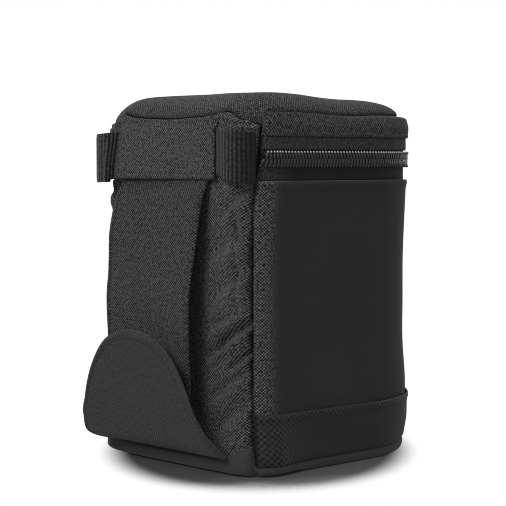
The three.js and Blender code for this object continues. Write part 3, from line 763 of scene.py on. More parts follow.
def wall_swell(length, z, from_seam):
    side = 1 if length * 2 > WALL.length else -1
    height_share = (z - WRAP_LOW.z) / (WRAP_HIGH.z - WRAP_LOW.z)
    waist = -WAIST * math.sin(math.pi * min(max(height_share, 0), 1)) ** WAIST_POWER
    soft = rumple(length, z, WALL_WAVES) * bpy.context.scene.pouch_sizes.wrinkle
    form = smoothstep(0, FORM_REACH, from_seam)
    push = foot_push(z, from_seam, True) + FOOT_BULGE * hump(z - FOOT_BULGE_Z, FOOT_BULGE_HEIGHT) * form
    tuck = FOOT_TUCK * smoothstep(*FOOT_TUCK_REACH, from_seam) * (1 - smoothstep(*FOOT_TUCK_HEIGHTS, z))
    return (waist + soft) * form + push - tuck + seam_form(from_seam, z, side)


def wall_sheet(outs, bottom, top, columns, rows):
    """A sheet along the wall. outs gives how far out it stands at a length, a height and a distance from the
    seam."""
    def place(u, v):
        z = bottom + (top - bottom) * v
        length, from_seam = along_span(wall_span(z), u)
        return round_point(length, z, outs(length, z, from_seam))

    return sheet(columns, rows, place, flat_chart(WALL.length, top - bottom), SEAM_CROWD), place


HEM_EDGE = (-0.05 * MM, 0.5 * MM)
HEM_LINE_SHARES = (0.8, 1.25)
# Height and rise of each hem
WRAP_HEM = (2.8 * MM, 0.45 * MM)
BAND_HEM = (3.0 * MM, 0.5 * MM)
LID_BAND_HEM = (1.6 * MM, 0.5 * MM)
BAND_HEM_SHOWN = 2.4 * MM


def hem_roll(z, edge, height, rise):
    """A folded hem: the cloth stands out by rise between the edge and a line a little below it."""
    depth = edge - z
    start, end = (height * share for share in HEM_LINE_SHARES)
    return rise * smoothstep(*HEM_EDGE, depth) * (1 - smoothstep(start, end, depth))


def make_wrap(sizes):
    def outs(length, z, from_seam):
        return wall_swell(length, z, from_seam) + hem_roll(z, WRAP_HIGH.z, *WRAP_HEM)

    bm, place = wall_sheet(outs, WRAP_LOW.z, WRAP_HIGH.z, 260, 90)
    piece = add_piece("outer_cloth", bm, "body_nylon", "body", "outer_wrap", thickness=sizes.cloth)
    return place


BAND_OVERLAP = 0.4 * MM
BAND_LIFT = 1.1 * MM
BAND_FOOT_TUCK = 1.8 * MM
BAND_FOOT_HEIGHT = 1.5 * MM
BAND_THICKNESS = 0.7 * MM


def make_band():
    bottom, top = BASE_WALL_Z - BAND_OVERLAP, FOOT_HIGH.z

    def outs(length, z, from_seam):
        form = hem_roll(z, top, *BAND_HEM) - BAND_FOOT_TUCK * hump(z - bottom, BAND_FOOT_HEIGHT)
        return wall_swell(length, max(z, WRAP_LOW.z), from_seam) + BAND_LIFT + form

    bm, place = wall_sheet(outs, bottom, top, 260, 30)
    add_piece("foot_band", bm, "ballistic_nylon", "body", "reinforcement_band", thickness=BAND_THICKNESS)
    return place


# Where the back panel is creased: start and end, each by distance from the seam and height, then width and
# depth
BACK_FOLDS = in_mm((
    (25, 56, 1, 71, 2.6, 5.0),
    (12, 49, 0.5, 58, 2.0, 4.0),
    (26, 68, 6, 77, 2.2, 1.6),
    (7.5, 80, 8, 122, 1.8, 1.5),
    (24, 36, 4, 48, 3.0, 2.6),
    (20, 22, 3, 34, 3.2, 2.4),
    (24, 104, 4, 114, 5, 2.2),
    (22, 84, 5, 95, 4, 1.8),
    (18, 122, 3, 134, 3, 2.4),
    (26, 164, 1, 163.5, 0.9, 0.9),
))
FOLD_START_SHARES = (-0.25, 0.25)
FOLD_END_SHARES = (0.9, 1.3)
FOLD_RIDGE_SHARE = 0.7
FOLD_RIDGE_AT_SHARE = 1.5
BACK_WAVES = (26 * MM, 8.0)
BACK_FORM_REACH = 14 * MM
# The height of the base's seam with the wall, and with the back by the distance from a corner seam
BASE_WALL_Z = 4.8 * MM
BACK_BASE = in_mm(((0, 14.5), (5, 13), (15, 8.3), (60, 7.9)))
# How far the back's cloth ends under the lid seam, and how it sinks into its seam with the base
BACK_UNDER_RIM = 0.5 * MM
BACK_SINK = 1.5 * MM
BACK_SINK_ABOVE = 0.3 * MM
BACK_SINK_HEIGHT = 1.2 * MM
# Height of the lid seam above the crown's packed rim, by the distance from a corner seam
BACK_RIM = in_mm(((0, -3.8), (9, -2.0), (20, 2.5), (29, 1.0), (38, 0.3), (58, -0.4)))
WALL_RIM = in_mm(((0, -3.8), (2.4, 2.0), (25, 1.9), (55, 0.7), (80, 1.5), (200, 1.5)))


def fold_depth(x, z, fold):
    """How deep a crease is at a place: a valley with a low ridge above it, fading at both ends."""
    start, span = Vector(fold[:2]), Vector(fold[2:4]) - Vector(fold[:2])
    width, depth = fold[4:]
    along = (Vector((x, z)) - start).dot(span) / span.length_squared
    across = (Vector((x, z)) - start).cross(span) / span.length
    fade = smoothstep(*FOLD_START_SHARES, along) * (1 - smoothstep(*FOLD_END_SHARES, along))
    ridge = FOLD_RIDGE_SHARE * hump(across + width * FOLD_RIDGE_AT_SHARE, width)
    return depth * fade * (ridge - hump(across, width))


def back_swell(length, z, from_seam):
    side = 2 if length * 2 > WALL.length + ROUND.length else -2
    folds = sum(fold_depth(from_seam, z, fold) for fold in BACK_FOLDS)
    soft = rumple(length, z, BACK_WAVES) * bpy.context.scene.pouch_sizes.wrinkle
    full = smoothstep(0, BACK_FORM_REACH, from_seam)
    return soft * full + folds + seam_form(from_seam, z, side) + foot_push(z, from_seam, False)


def make_back(sizes):
    bottom = BACK_LOW.z

    def place(u, v):
        length, from_seam = along_span(back_span(bottom + (RIM_Z - bottom) * v), u)
        z = bottom + (RIM_Z + shares_at(BACK_RIM, from_seam) - BACK_UNDER_RIM - bottom) * v
        sunk = -BACK_SINK * hump(z - shares_at(BACK_BASE, from_seam) - BACK_SINK_ABOVE, BACK_SINK_HEIGHT)
        return round_point(length, z, back_swell(length, z, from_seam) + sunk)

    bm = sheet(190, 200, place, flat_chart(BACK.length, BACK_HIGH.z - bottom), SEAM_CROWD)
    piece = add_piece("back_cloth", bm, "back_nylon", "body", "back_panel", thickness=sizes.cloth)


# Lid

# Between these places on y the lid slopes down and its seam moves in over the shoulder
FRONT_SLOPE = (-22 * MM, 46 * MM)
RING_SPREAD = 4 * MM
RING_SPREAD_SHARES = (-1, -0.5, 0, 0.5, 1)
# The crown's rounded edge at the back and at the front, and its heights
CROWN_REACH = (20 * MM, 24 * MM)
CROWN_SOFTNESS = (1.3, 1.0)
CROWN_INSET = (0.9 * MM, 4.6 * MM)
CROWN_TOP = (178.7 * MM, 177.2 * MM)
CROWN_MIDDLE_Z = 178.4 * MM
CROWN_EDGE_SHARE = 0.5
CROWN_MIDDLE = Vector((0, 1 * MM))
CROWN_PUCKER = 0.6 * MM
CROWN_PUCKER_WAVES = (9 * MM, 21.0)
CROWN_PUCKER_SHARE = 0.25
CROWN_TUCK = 0.7 * MM
CROWN_TUCK_SHARE = 0.12
CROWN_SOFT = 0.7 * MM
CROWN_WAVES = (30 * MM, 5.0)
# The cloth that goes over the crown's edge, and the flat part that it takes the place of
EDGE_CLOTH = 20 * MM
EDGE_FLAT = 17 * MM


def front_share(y):
    """0 at the back, and 1 at the front, where the lid slopes down and its seam lies in over the shoulder."""
    return 1 - smoothstep(*FRONT_SLOPE, y)


def ring_point(length):
    """The place, the smoothed direction out and the lid seam's height at a length round the whole outline."""
    length %= ROUND.length
    outs = Vector((0, 0))
    for share in RING_SPREAD_SHARES:
        outs += ROUND.at((length + share * RING_SPREAD) % ROUND.length)[1]
    on_wall, from_seam = ring_side(length, RIM_Z)
    rim = shares_at(WALL_RIM if on_wall else BACK_RIM, from_seam)
    return ROUND.at(length)[0], outs.normalized(), RIM_Z + rim


def crown_profile(v):
    """(inset share, height share, share of the way to the middle) for a share from the rim to the middle."""
    if v <= CROWN_EDGE_SHARE:
        turn = math.pi / 2 * v / CROWN_EDGE_SHARE
        return 1 - math.cos(turn), math.sin(turn), 0.0
    return 1.0, 1.0, (v - CROWN_EDGE_SHARE) / (1 - CROWN_EDGE_SHARE)


def crown_place(u, v):
    point, out, rim = ring_point(u * ROUND.length)
    front = front_share(point.y)
    inset, rise, inward = crown_profile(v)
    rise **= between(CROWN_SOFTNESS, front)
    pucker = CROWN_PUCKER * rumple(point.x, point.y, CROWN_PUCKER_WAVES) * hump(inset, CROWN_PUCKER_SHARE)
    tuck = -CROWN_TUCK * hump(rise, CROWN_TUCK_SHARE)
    rim_spot = point + out * (tuck + pucker - between(CROWN_INSET, front))
    edge = rim_spot + (CROWN_MIDDLE - rim_spot).normalized() * inset * between(CROWN_REACH, front)
    spot = edge.lerp(CROWN_MIDDLE, inward)
    top = between((between(CROWN_TOP, front), CROWN_MIDDLE_Z), smoothstep(0, 1, inward))
    soft = CROWN_SOFT * rumple(spot.x, spot.y, CROWN_WAVES) * rise
    return Vector((*spot, rim + (top - rim) * rise + soft))


def crown_chart(u, v):
    """Flat cloth: the middle lies at 0, and the edge is as far out as the cloth is long."""
    from_middle = ring_point(u * ROUND.length)[0] - CROWN_MIDDLE
    inward = crown_profile(v)[2]
    flat = from_middle * (1 - EDGE_FLAT / from_middle.length) * (1 - inward)
    if inward == 0:
        flat += from_middle.normalized() * EDGE_CLOTH * (1 - v / CROWN_EDGE_SHARE)
    return flat


def closed_ring(columns, rows, place, chart):
    bm = sheet(columns, rows, place, chart)
    bmesh.ops.remove_doubles(bm, verts=bm.verts, dist=POLE_MERGE_DISTANCE)
    return bm


def make_crown(sizes):
    bm = closed_ring(300, 44, crown_place, crown_chart)
    piece = add_piece("lid_crown", bm, "lid_nylon", "lid", "lid_top_panel", slot="back_nylon",
                      thickness=sizes.cloth)


LID_BAND_RAISED = 0.4 * MM
LID_UPRIGHT_SHARE = 0.78
LID_SHOULDER_SHARE = 0.84
LID_DIVE = 1.4 * MM
LID_FULL = 1.0 * MM
LID_SOFT = 0.35 * MM
LID_WAVES = (16 * MM, 31.0)
# Puckers lean across the band: their depth, their waves, and how far they lean and stretch
LID_PUCKER = 0.45 * MM
LID_PUCKER_WAVES = (5 * MM, 33.0)
LID_PUCKER_LEAN = 0.8
LID_PUCKER_STRETCH = 0.25


def make_lid_band(sizes):
    """Band round the lid's side, which rolls in over the shoulder to the crown's seam."""
    bottom = BAND_LOW.z + LID_BAND_RAISED
    upright = LID_UPRIGHT_SHARE

    def place(u, v):
        length, from_seam = along_span(wall_span(bottom + (RIM_Z - bottom) * v), u)
        rim = RIM_Z + shares_at(WALL_RIM, from_seam)
        turn = math.pi / 2 * max(0, (v - upright) / (1 - upright))
        shoulder = bottom + (rim - bottom) * LID_SHOULDER_SHARE
        z = shoulder + (rim - shoulder) * math.sin(turn)
        if v < upright:
            z = bottom + (shoulder - bottom) * v / upright
        front = front_share(ROUND.at(length % ROUND.length)[0].y)
        roll = -between(CROWN_INSET, front) * (1 - math.cos(turn))
        dive = -LID_DIVE * hump(from_seam, SEAM_WIDTH)
        full = LID_FULL * math.sin(math.pi * min(v / upright, 1)) + LID_SOFT * rumple(length, z, LID_WAVES)
        full += LID_PUCKER * rumple(length + LID_PUCKER_LEAN * z, LID_PUCKER_STRETCH * z, LID_PUCKER_WAVES)
        lower = hem_roll(2 * bottom - z, bottom, *LID_BAND_HEM)
        return round_point(length, z, dive + full + lower + roll)

    bm = sheet(260, 26, place, flat_chart(WALL.length, BAND_HIGH.z - bottom))
    add_piece("lid_band", bm, "lid_nylon", "lid", "lid_side_band", slot="body_nylon", thickness=sizes.cloth)


# Base

BASE_ROUND = 3.2 * MM
BASE_WALL_PROUD, BASE_BACK_PROUD = 0.3 * MM, 0.8 * MM
BASE_SINK = 1.2 * MM
BASE_SINK_SHARE = 0.07
BASE_SEAM_WIDTH = 1.5 * MM
# Shares of the base's cloth at which it stops being upright, and at which it has gone round the edge
BASE_TURN_SHARES = (0.3, 0.6)
BASE_STRETCH = 60 * MM


def base_place(u, v):
    """The base's cloth: up to its seam with the walls, round the edge and flat underneath."""
    length = u * ROUND.length % ROUND.length
    point, out, _ = ring_point(length)
    on_wall, from_seam = ring_side(length, 0)
    if on_wall:
        rim = BASE_WALL_Z
        swell = wall_swell(length, WRAP_LOW.z, from_seam) + BASE_WALL_PROUD
    else:
        rim = shares_at(BACK_BASE, from_seam)
        swell = back_swell(length, max(rim, BACK_LOW.z), from_seam) + BASE_BACK_PROUD
    corner = hump(from_seam, BASE_SEAM_WIDTH) * smoothstep(BASE_ROUND, rim, BASE_WALL_Z)
    swell -= BASE_SINK * (hump(v, BASE_SINK_SHARE) + corner)
    upright, rounded = BASE_TURN_SHARES
    z, inset, inward = 0.0, BASE_ROUND, 0.0
    if v <= upright:
        z = rim + (BASE_ROUND - rim) * v / upright
        inset = -swell
    elif v <= rounded:
        turn = math.pi / 2 * (v - upright) / (rounded - upright)
        z = BASE_ROUND * (1 - math.sin(turn))
        inset = -swell + (BASE_ROUND + swell) * (1 - math.cos(turn))
    else:
        inward = (v - rounded) / (1 - rounded)
    return Vector((*(point - out * inset).lerp(CROWN_MIDDLE, inward), z))


def base_chart(u, v):
    spot = base_place(u, v)
    return spot.xy * (1 + spot.z / BASE_STRETCH)


def make_base(sizes):
    bm = closed_ring(300, 40, base_place, base_chart)
    bmesh.ops.reverse_faces(bm, faces=bm.faces)
    add_piece("base_cloth", bm, "base_nylon", "body", "base_panel", thickness=sizes.cloth)


# Padding and lining

WALL_FOAM_THICKNESS = 6 * MM
LID_FOAM_THICKNESS = 3 * MM
LID_ROLL_HEIGHTS = (RIM_Z - 6 * MM, RIM_Z + 1 * MM)
LID_FRONT_INSET = 1.4 * MM
# Near a corner seam the layers end short of the thread and lie deeper, as foam is trimmed thin to be sewn
LAYER_SHORT = 3.0 * MM
LAYER_TRIM = 2.6 * MM
LAYER_TRIM_WIDTH = 6 * MM
LAYER_UNDER_RIM = 1.5 * MM
# How far behind the cloth the turned lining ends, at the body's opening and at the lid's
BODY_FOLD_INSET, LID_FOLD_INSET = 1.2 * MM, 2.4 * MM
RIM_FOLD_RISE = 0.7 * MM
RIM_FOLD_THICKNESS = 0.4 * MM
LID_PAD_UNDER = 1.5 * MM
LID_PAD_SIDE_SHARE = 0.15
LID_LINER_INSET = 3.6 * MM
PAD_SIDE_SHARE = 0.25


def drawn_in(body, length, z, from_seam):
    """How far the cloth of the body or of the lid is drawn in at a place, as 0 or a number below it."""
    if body == "body":
        return min(0, wall_swell(length, z, from_seam))
    front = front_share(ROUND.at(length % ROUND.length)[0].y)
    return min(0, -between(CROWN_INSET, front) * smoothstep(*LID_ROLL_HEIGHTS, z) - LID_FRONT_INSET * front)


def layer_span(span, share):
    """What along_span gives, for a layer that ends short of both seams."""
    start, end = span
    length = start + LAYER_SHORT + (end - start - 2 * LAYER_SHORT) * share
    return length, min(length - start, end - length)


def layer_point(length, z, from_seam, out_by):
    return round_point(length, z, out_by - LAYER_TRIM * hump(from_seam, LAYER_TRIM_WIDTH))


def make_wall_layer(name, node, finish, body, thickness):
    """Padding or lining of the wall, which keeps behind the cloth wherever that is drawn in."""
    low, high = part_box(node)
    inset = HALF_WIDTH - high.x

    def place(u, v):
        z = low.z + (high.z - low.z) * v
        length, from_seam = layer_span(wall_span(z), u)
        return layer_point(length, z, from_seam, drawn_in(body, length, z, from_seam) - inset)

    bm = sheet(160, 20, place, flat_chart(WALL.length, high.z - low.z), SEAM_CROWD)
    add_piece(name, bm, finish, body, node, thickness=thickness)


def make_back_layer(name, node, finish, thickness):
    """Padding or lining of the back, which keeps behind its creases."""
    low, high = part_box(node)
    inset = BACK_Y - high.y

    def place(u, v):
        length, from_seam = layer_span(back_span(low.z + (high.z - low.z) * v), u)
        rim = min(high.z, RIM_Z + shares_at(BACK_RIM, from_seam) - LAYER_UNDER_RIM)
        z = low.z + (rim - low.z) * v
        return layer_point(length, z, from_seam, min(0, back_swell(length, z, from_seam)) - inset)

    bm = sheet(90, 60, place, flat_chart(BACK.length, high.z - low.z), SEAM_CROWD)
    add_piece(name, bm, finish, "body", node, thickness=thickness)


def make_rim_fold(name, body, edge_z, outer, inner, rise):
    """Lining turned over the edge of the foam, out to the cloth, at the opening."""
    def place(u, v):
        length, from_seam = along_span(wall_span(edge_z), u)
        out_by = drawn_in(body, length, edge_z, from_seam) - between((inner, outer), v)
        return round_point(length, edge_z + rise * math.sin(math.pi * v), out_by)

    bm = sheet(160, 8, place, flat_chart(WALL.length, inner - outer), SEAM_CROWD)
    if rise < 0:
        bmesh.ops.reverse_faces(bm, faces=bm.faces)
    add_piece(name, bm, "lining_cloth", body, thickness=RIM_FOLD_THICKNESS)


def add_pad(name, node, finish, body, rows, place):
    """A closed pad that fills the plan, from the sheet that is its side and its shown face."""
    bm = closed_ring(180, rows, place, lambda u, v: place(u, v).xy)
    bmesh.ops.contextual_create(bm, geom=[edge for edge in bm.edges if edge.is_boundary])
    bmesh.ops.recalc_face_normals(bm, faces=bm.faces)
    add_piece(name, bm, finish, body, node)


def make_lid_pad(name, node, finish):
    """The lid's pad, level below and domed above like the crown that it fills."""
    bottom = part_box(node)[0].z
    side, under = LID_PAD_SIDE_SHARE, LID_PAD_UNDER

    def place(u, v):
        share = max(0, (v - side) / (1 - side))
        out = ring_point(u * ROUND.length)[1]
        top = crown_place(u, share) - Vector((*(out * under * (1 - share)), under))
        return Vector((top.x, top.y, bottom + (top.z - bottom) * min(v / side, 1)))

    add_pad(name, node, finish, "lid", 34, place)


def make_level_pad(name, node, finish, body, inset):
    """A level pad, which in the lid faces down and keeps behind the band as that rolls in."""
    low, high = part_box(node)
    in_lid = body == "lid"
    hidden_z, shown_z = (high.z, low.z) if in_lid else (low.z, high.z)
    side = PAD_SIDE_SHARE

    def place(u, v):
        point, out, _ = ring_point(u * ROUND.length)
        rolled = between(CROWN_INSET, front_share(point.y)) if in_lid else 0
        edge = point - out * (inset + rolled)
        if v <= side:
            return Vector((*edge, hidden_z + (shown_z - hidden_z) * v / side))
        return Vector((*edge.lerp(CROWN_MIDDLE, (v - side) / (1 - side)), shown_z))

    add_pad(name, node, finish, body, 24, place)


# Zip

# The two parts of a coil's turn: middle and half length, as shares of half the chain's height, then half
# width and how proud it stands
TOOTH_HEAD = (0.84, 0.2, 0.42 * MM, 0.6 * MM)
TOOTH_LEG = (0.34, 0.5, 0.7 * MM, 0.2 * MM)
TOOTH_LEAN = math.radians(16)
TOOTH_OUT = 0.5 * MM
# The lower row of turns lies flatter
LOWER_PROUD_SHARE = 0.62
# How many turns curl over at the near end, how far they turn and come out, and the lower row's share of that
CURL_TURNS = 5
CURL_LEAN = 0.5
CURL_OUT = 0.6 * MM
LOWER_CURL_SHARE = 0.4
CHAIN_START = 1.4 * MM
CHAIN_END = WALL.length - (CORNER_RADIUS * SEAM_TURN + (CORNER_Y - CHAIN_HIGH.y))
CORD_RADIUS = 0.6 * MM
CORD_SUNK = 0.1 * MM
CORD_GIRTH = 3 * MM
CORD_HEIGHT_SHARE = 0.3
# Half the gap between the two tapes, which run behind the coil and all but meet
TAPE_GAP = 0.1 * MM
TAPE_SOFT = 0.15 * MM
TAPE_WAVES = (6 * MM, 40.0)
TAPE_DIVE = 0.8 * MM
COVER_MARGIN = 0.6 * MM


def tooth(bm, length, pointing, curl):
    """One turn of the coil: a round head at its outer bend and a slanting leg past the middle."""
    point, out = ROUND.at(length % ROUND.length)
    outwards = Vector((*out, 0))
    up = Matrix.Rotation(-TOOTH_LEAN * pointing - CURL_LEAN * curl, 3, outwards) @ Vector((0, 0, -pointing))
    middle = Vector((*point, ZIP_Z)) + outwards * (TOOTH_OUT + CURL_OUT * curl)
    half = CHAIN_HEIGHT / 2
    for place, reach, width, proud in (TOOTH_LEG, TOOTH_HEAD):
        proud *= LOWER_PROUD_SHARE if pointing > 0 else 1
        add_bead(bm, middle + up * half * place, up, outwards, (half * reach, width, proud))


def make_chain(name, node, body, pointing, phase, sizes):
    """A row of coil turns sewn to its tape over a cord."""
    bm = bmesh.new()
    first = wall_span(ZIP_Z)[0] + CHAIN_START
    for i in range(int((CHAIN_END - first) / sizes.tooth_pitch)):
        curl = max(0, 1 - i / CURL_TURNS) * (LOWER_CURL_SHARE if pointing > 0 else 1)
        tooth(bm, first + (i + phase) * sizes.tooth_pitch, pointing, curl)
    add_piece(name, bm, "coil_plastic", body, node)
    cord_z = ZIP_Z - pointing * CHAIN_HEIGHT * CORD_HEIGHT_SHARE

    def place(u, v):
        turn = 2 * math.pi * v
        z = cord_z + CORD_RADIUS * math.sin(turn)
        return round_point(between((first, CHAIN_END), u), z, CORD_RADIUS * math.cos(turn) - CORD_SUNK)

    add_piece(f"{name}_cord", sheet(260, 8, place, flat_chart(CHAIN_END, CORD_GIRTH)), "zip_tape", body)


def make_tape(name, node, body, finish, bottom, top, sizes):
    inset = HALF_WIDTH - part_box(node)[1].x

    def outs(length, z, from_seam):
        return TAPE_SOFT * rumple(length, z, TAPE_WAVES) - inset - TAPE_DIVE * hump(from_seam, SEAM_WIDTH)

    bm, _ = wall_sheet(outs, bottom, top, 240, 10)
    add_piece(name, bm, finish, body, node, slot="zip_tape", thickness=sizes.lining)


# Belt fastening

BELT_BEVEL = 0.3 * MM
WEB_LIFT = 1.1 * MM
WEB_THICKNESS = 1.6 * MM
WEB_FLAT_STEPS = 30
PATCH_MARGIN = 0.5 * MM
# The slack loops on the plan, far and near: first from the patch's edge, then from the corner seam
FAR_LOOP = in_mm(((0.2, 9.8), (1.6, 13.4))), in_mm(((-7.0, 13.4), (1.6, 7.2), (1.7, 0.6)))
NEAR_LOOP = in_mm(((5.5, 7.6), (10.5, 10.4))), in_mm(((-1.6, 9.4), (1.2, 5.0), (1.7, 0.6)))
# How far from its ends the webbing is slack, far and near, and how far its lower and upper edges then hang
FAR_SLACK, NEAR_SLACK = 46 * MM, 30 * MM
SLACK_FADE = 30 * MM
SLACK_DROPS = (4.0 * MM, 2.4 * MM)
WEB_STEP = 0.3 * MM
WEB_EDGE = 0.3 * MM
WEB_EDGE_SHARE = 0.04
# How far the strap pulls the patch's far end out at the bottom, and between which places on x
BELT_LEAN = 3.4 * MM
BELT_LEAN_REACH = (-34 * MM, 40 * MM)
BELT_LEAN_FADE = 4 * MM


def web_loop(side, half_patch):
    """One slack loop of the webbing, from the patch's edge to the corner seam."""
    edge = BELT_X * side + half_patch
    by_patch, by_seam = FAR_LOOP if side > 0 else NEAR_LOOP
    points = [(edge, SEAM_Y + bow(edge) + WEB_LIFT)]
    points += [(edge + x, SEAM_Y + y) for x, y in by_patch]
    points += [(SEAM_X + x, SEAM_Y + y) for x, y in by_seam]
    return smooth_path([Vector((x * side, y)) for x, y in points], 40)


def web_path():
    """The webbing's line on the plan: flat under the patch, slack at both corners."""
    half_patch = (PATCH_HIGH.x - PATCH_LOW.x) / 2 + PATCH_MARGIN
    flat = []
    for i in range(1, WEB_FLAT_STEPS):
        x = BELT_X + half_patch - 2 * half_patch * i / WEB_FLAT_STEPS
        flat.append(Vector((x, SEAM_Y + bow(x) + WEB_LIFT)))
    spots = [*reversed(web_loop(1, half_patch)), *flat, *web_loop(-1, half_patch)]
    return Line([(p, Vector((0, 1))) for p in spots])


def belt_lean(x, z):
    """The strap pulls the patch's far end, and the webbing under it, out at the bottom."""
    side = smoothstep(*BELT_LEAN_REACH, x) * (1 - smoothstep(PATCH_HIGH.x, PATCH_HIGH.x + BELT_LEAN_FADE, x))
    return BELT_LEAN * side * smoothstep(PATCH_HIGH.z, PATCH_LOW.z, z)


def make_webbing():
    line = web_path()

    def place(u, v):
        length = u * line.length
        point, _ = line.at(length)
        ahead = line.at(min(length + WEB_STEP, line.length))[0] - line.at(max(length - WEB_STEP, 0))[0]
        out = Vector((ahead.y, -ahead.x)).normalized()
        reach = FAR_SLACK if point.x > 0 else NEAR_SLACK
        slack = 1 - smoothstep(reach - SLACK_FADE, reach, min(length, line.length - length))
        low, high = (edge.z - drop * slack for edge, drop in zip((WEB_LOW, WEB_HIGH), SLACK_DROPS))
        z = low + (high - low) * v
        thin = WEB_EDGE * (hump(v, WEB_EDGE_SHARE) + hump(1 - v, WEB_EDGE_SHARE))
        spot = point + out * (WEB_THICKNESS / 2 - thin)
        return Vector((spot.x, spot.y + belt_lean(point.x, z), z))

    bm = sheet(260, 20, place, flat_chart(line.length, WEB_HIGH.z - WEB_LOW.z))
    add_piece("side_loop_webbing", bm, "webbing", "body", "loop_webbing", thickness=WEB_THICKNESS,
              bevel=BELT_BEVEL)


# Depth and width of an edge's rounding and of the groove along its stitches, and where the fat hem ends
EDGE_RIM = (0.8 * MM, 0.7 * MM)
EDGE_GROOVE = (0.4 * MM, 0.5 * MM)
EDGE_HEM = (2.2 * MM, 3.4 * MM)
EDGE_ROW = 2.8 * MM
PATCH_EDGE_RISE, STRAP_EDGE_RISE, FLAP_EDGE_RISE = 0.35 * MM, 0.5 * MM, 0.3 * MM


def edge_form(distance, rise):
    """A folded and stitched edge: rounded at the rim, fat as far as the stitches, and sunk along them."""
    rim = -EDGE_RIM[0] * hump(distance, EDGE_RIM[1])
    fat = rise * (1 - smoothstep(*EDGE_HEM, distance))
    return rim + fat - EDGE_GROOVE[0] * hump(distance - EDGE_ROW, EDGE_GROOVE[1])


PATCH_LIFT = 1.3 * MM
PATCH_OVER_WEB = 2.0 * MM
# Where the patch comes down from the webbing, by the height above its upper edge
PATCH_STEP_DOWN = (-0.4 * MM, 2.2 * MM)
PATCH_SIDE_MARGIN = 3 * MM
PATCH_EDGE_SHARE = 0.8
PATCH_SOFT = 0.35 * MM
PATCH_WAVES = (18 * MM, 51.0)
PATCH_HIGH_ROW = 2.0 * MM
PATCH_ROW_SHARES = (0.01, 0.99)


def make_patch(sizes, stitches):
    width, height = PATCH_HIGH.x - PATCH_LOW.x, PATCH_HIGH.z - PATCH_LOW.z

    def place(u, v):
        x = PATCH_HIGH.x - width * u
        z = PATCH_LOW.z + height * v
        lift = PATCH_LIFT + PATCH_OVER_WEB * (1 - smoothstep(*PATCH_STEP_DOWN, z - WEB_HIGH.z))
        rim = min(min(u, 1 - u) * width + PATCH_SIDE_MARGIN, v * height)
        form = edge_form(rim, PATCH_EDGE_RISE) * PATCH_EDGE_SHARE + PATCH_SOFT * rumple(x, z, PATCH_WAVES)
        return Vector((x, SEAM_Y + bow(x) + lift + form + belt_lean(x, z), z))

    bm = sheet(110, 44, place, flat_chart(width, height))
    add_piece("anchor_cloth", bm, "patch_nylon", "body", "anchor_patch", slot="strap_nylon",
              thickness=sizes.cloth)
    for row in (EDGE_ROW / height, 1 - PATCH_HIGH_ROW / height):
        sew(stitches, place, lambda t: (between(PATCH_ROW_SHARES, t), row), sizes)


# The strap's line from its root, as shares of its drop and of how far it stands off
STRAP_SHARES = ((0, 0), (0.1, 0.34), (0.2, 0.5), (0.33, 0.66), (0.46, 0.87), (0.6, 1), (0.8, 1), (1, 0.9))
STRAP_THICKNESS = 1.8 * MM
STRAP_STAND_OFF = 12.4 * MM
STRAP_ROOT_OUT = 1.1 * MM
STRAP_END_UNDER_PATCH = Vector((-0.3 * MM, 3 * MM))
# How much further out the strap's far edge stands than its near edge, by height
STRAP_TWIST = in_mm(((38, -1.0), (60, -0.9), (88, 0.2), (112, 3.2), (127, 2.6), (137, 1.2)))
STRAP_CUP = 0.8 * MM
STRAP_SOFT = 0.5 * MM
STRAP_WAVES = (28 * MM, 61.0)
STRAP_FLAT_SHARE = 0.1
STRAP_END_MARGIN = 0.8 * MM
STRAP_FOOT_ROW = 2.4 * MM
STRAP_ROW_END_SHARE = 0.99
BELT_PATH_STEPS = 60


def strap_path():
    """The strap's line from its lower end up to its root, as (how far back, height)."""
    top, drop = STRAP_HIGH.z, STRAP_HIGH.z - STRAP_LOW.z
    points = [Vector((BACK_Y + STRAP_ROOT_OUT + STRAP_STAND_OFF * out, top - drop * down))
              for down, out in reversed(STRAP_SHARES)]
    return smooth_path([*points, points[-1] + STRAP_END_UNDER_PATCH], BELT_PATH_STEPS)


def make_strap(sizes, stitches):
    path = strap_path()
    width = STRAP_HIGH.x - STRAP_LOW.x
    length = STRAP_HIGH.z - STRAP_LOW.z

    def place(u, v):
        spot, along = path_at(path, v)
        rim = min(min(u, 1 - u) * width, v * length + STRAP_END_MARGIN)
        form = STRAP_CUP * (2 * u - 1) ** 2 + STRAP_SOFT * rumple(u * width, v * length, STRAP_WAVES)
        form = form * smoothstep(0, STRAP_FLAT_SHARE, 1 - v) + edge_form(rim, STRAP_EDGE_RISE)
        twist = shares_at(STRAP_TWIST, spot.y) * (1 - u)
        spot = spot + Vector((along.y, -along.x)) * (STRAP_THICKNESS / 2 + form)
        return Vector((STRAP_HIGH.x - width * u, spot.x + twist, spot.y))

    bm = sheet(90, 120, place, flat_chart(width, length))
    add_piece("strap_cloth", bm, "strap_nylon", "strap", "belt_strap", thickness=STRAP_THICKNESS,
              bevel=BELT_BEVEL)
    row, foot = EDGE_ROW / width, STRAP_FOOT_ROW / length
    for side in (row, 1 - row):
        sew(stitches, place, lambda t: (side, between((foot, STRAP_ROW_END_SHARE), t)), sizes)
    sew(stitches, place, lambda t: (between((row, 1 - row), t), foot), sizes)


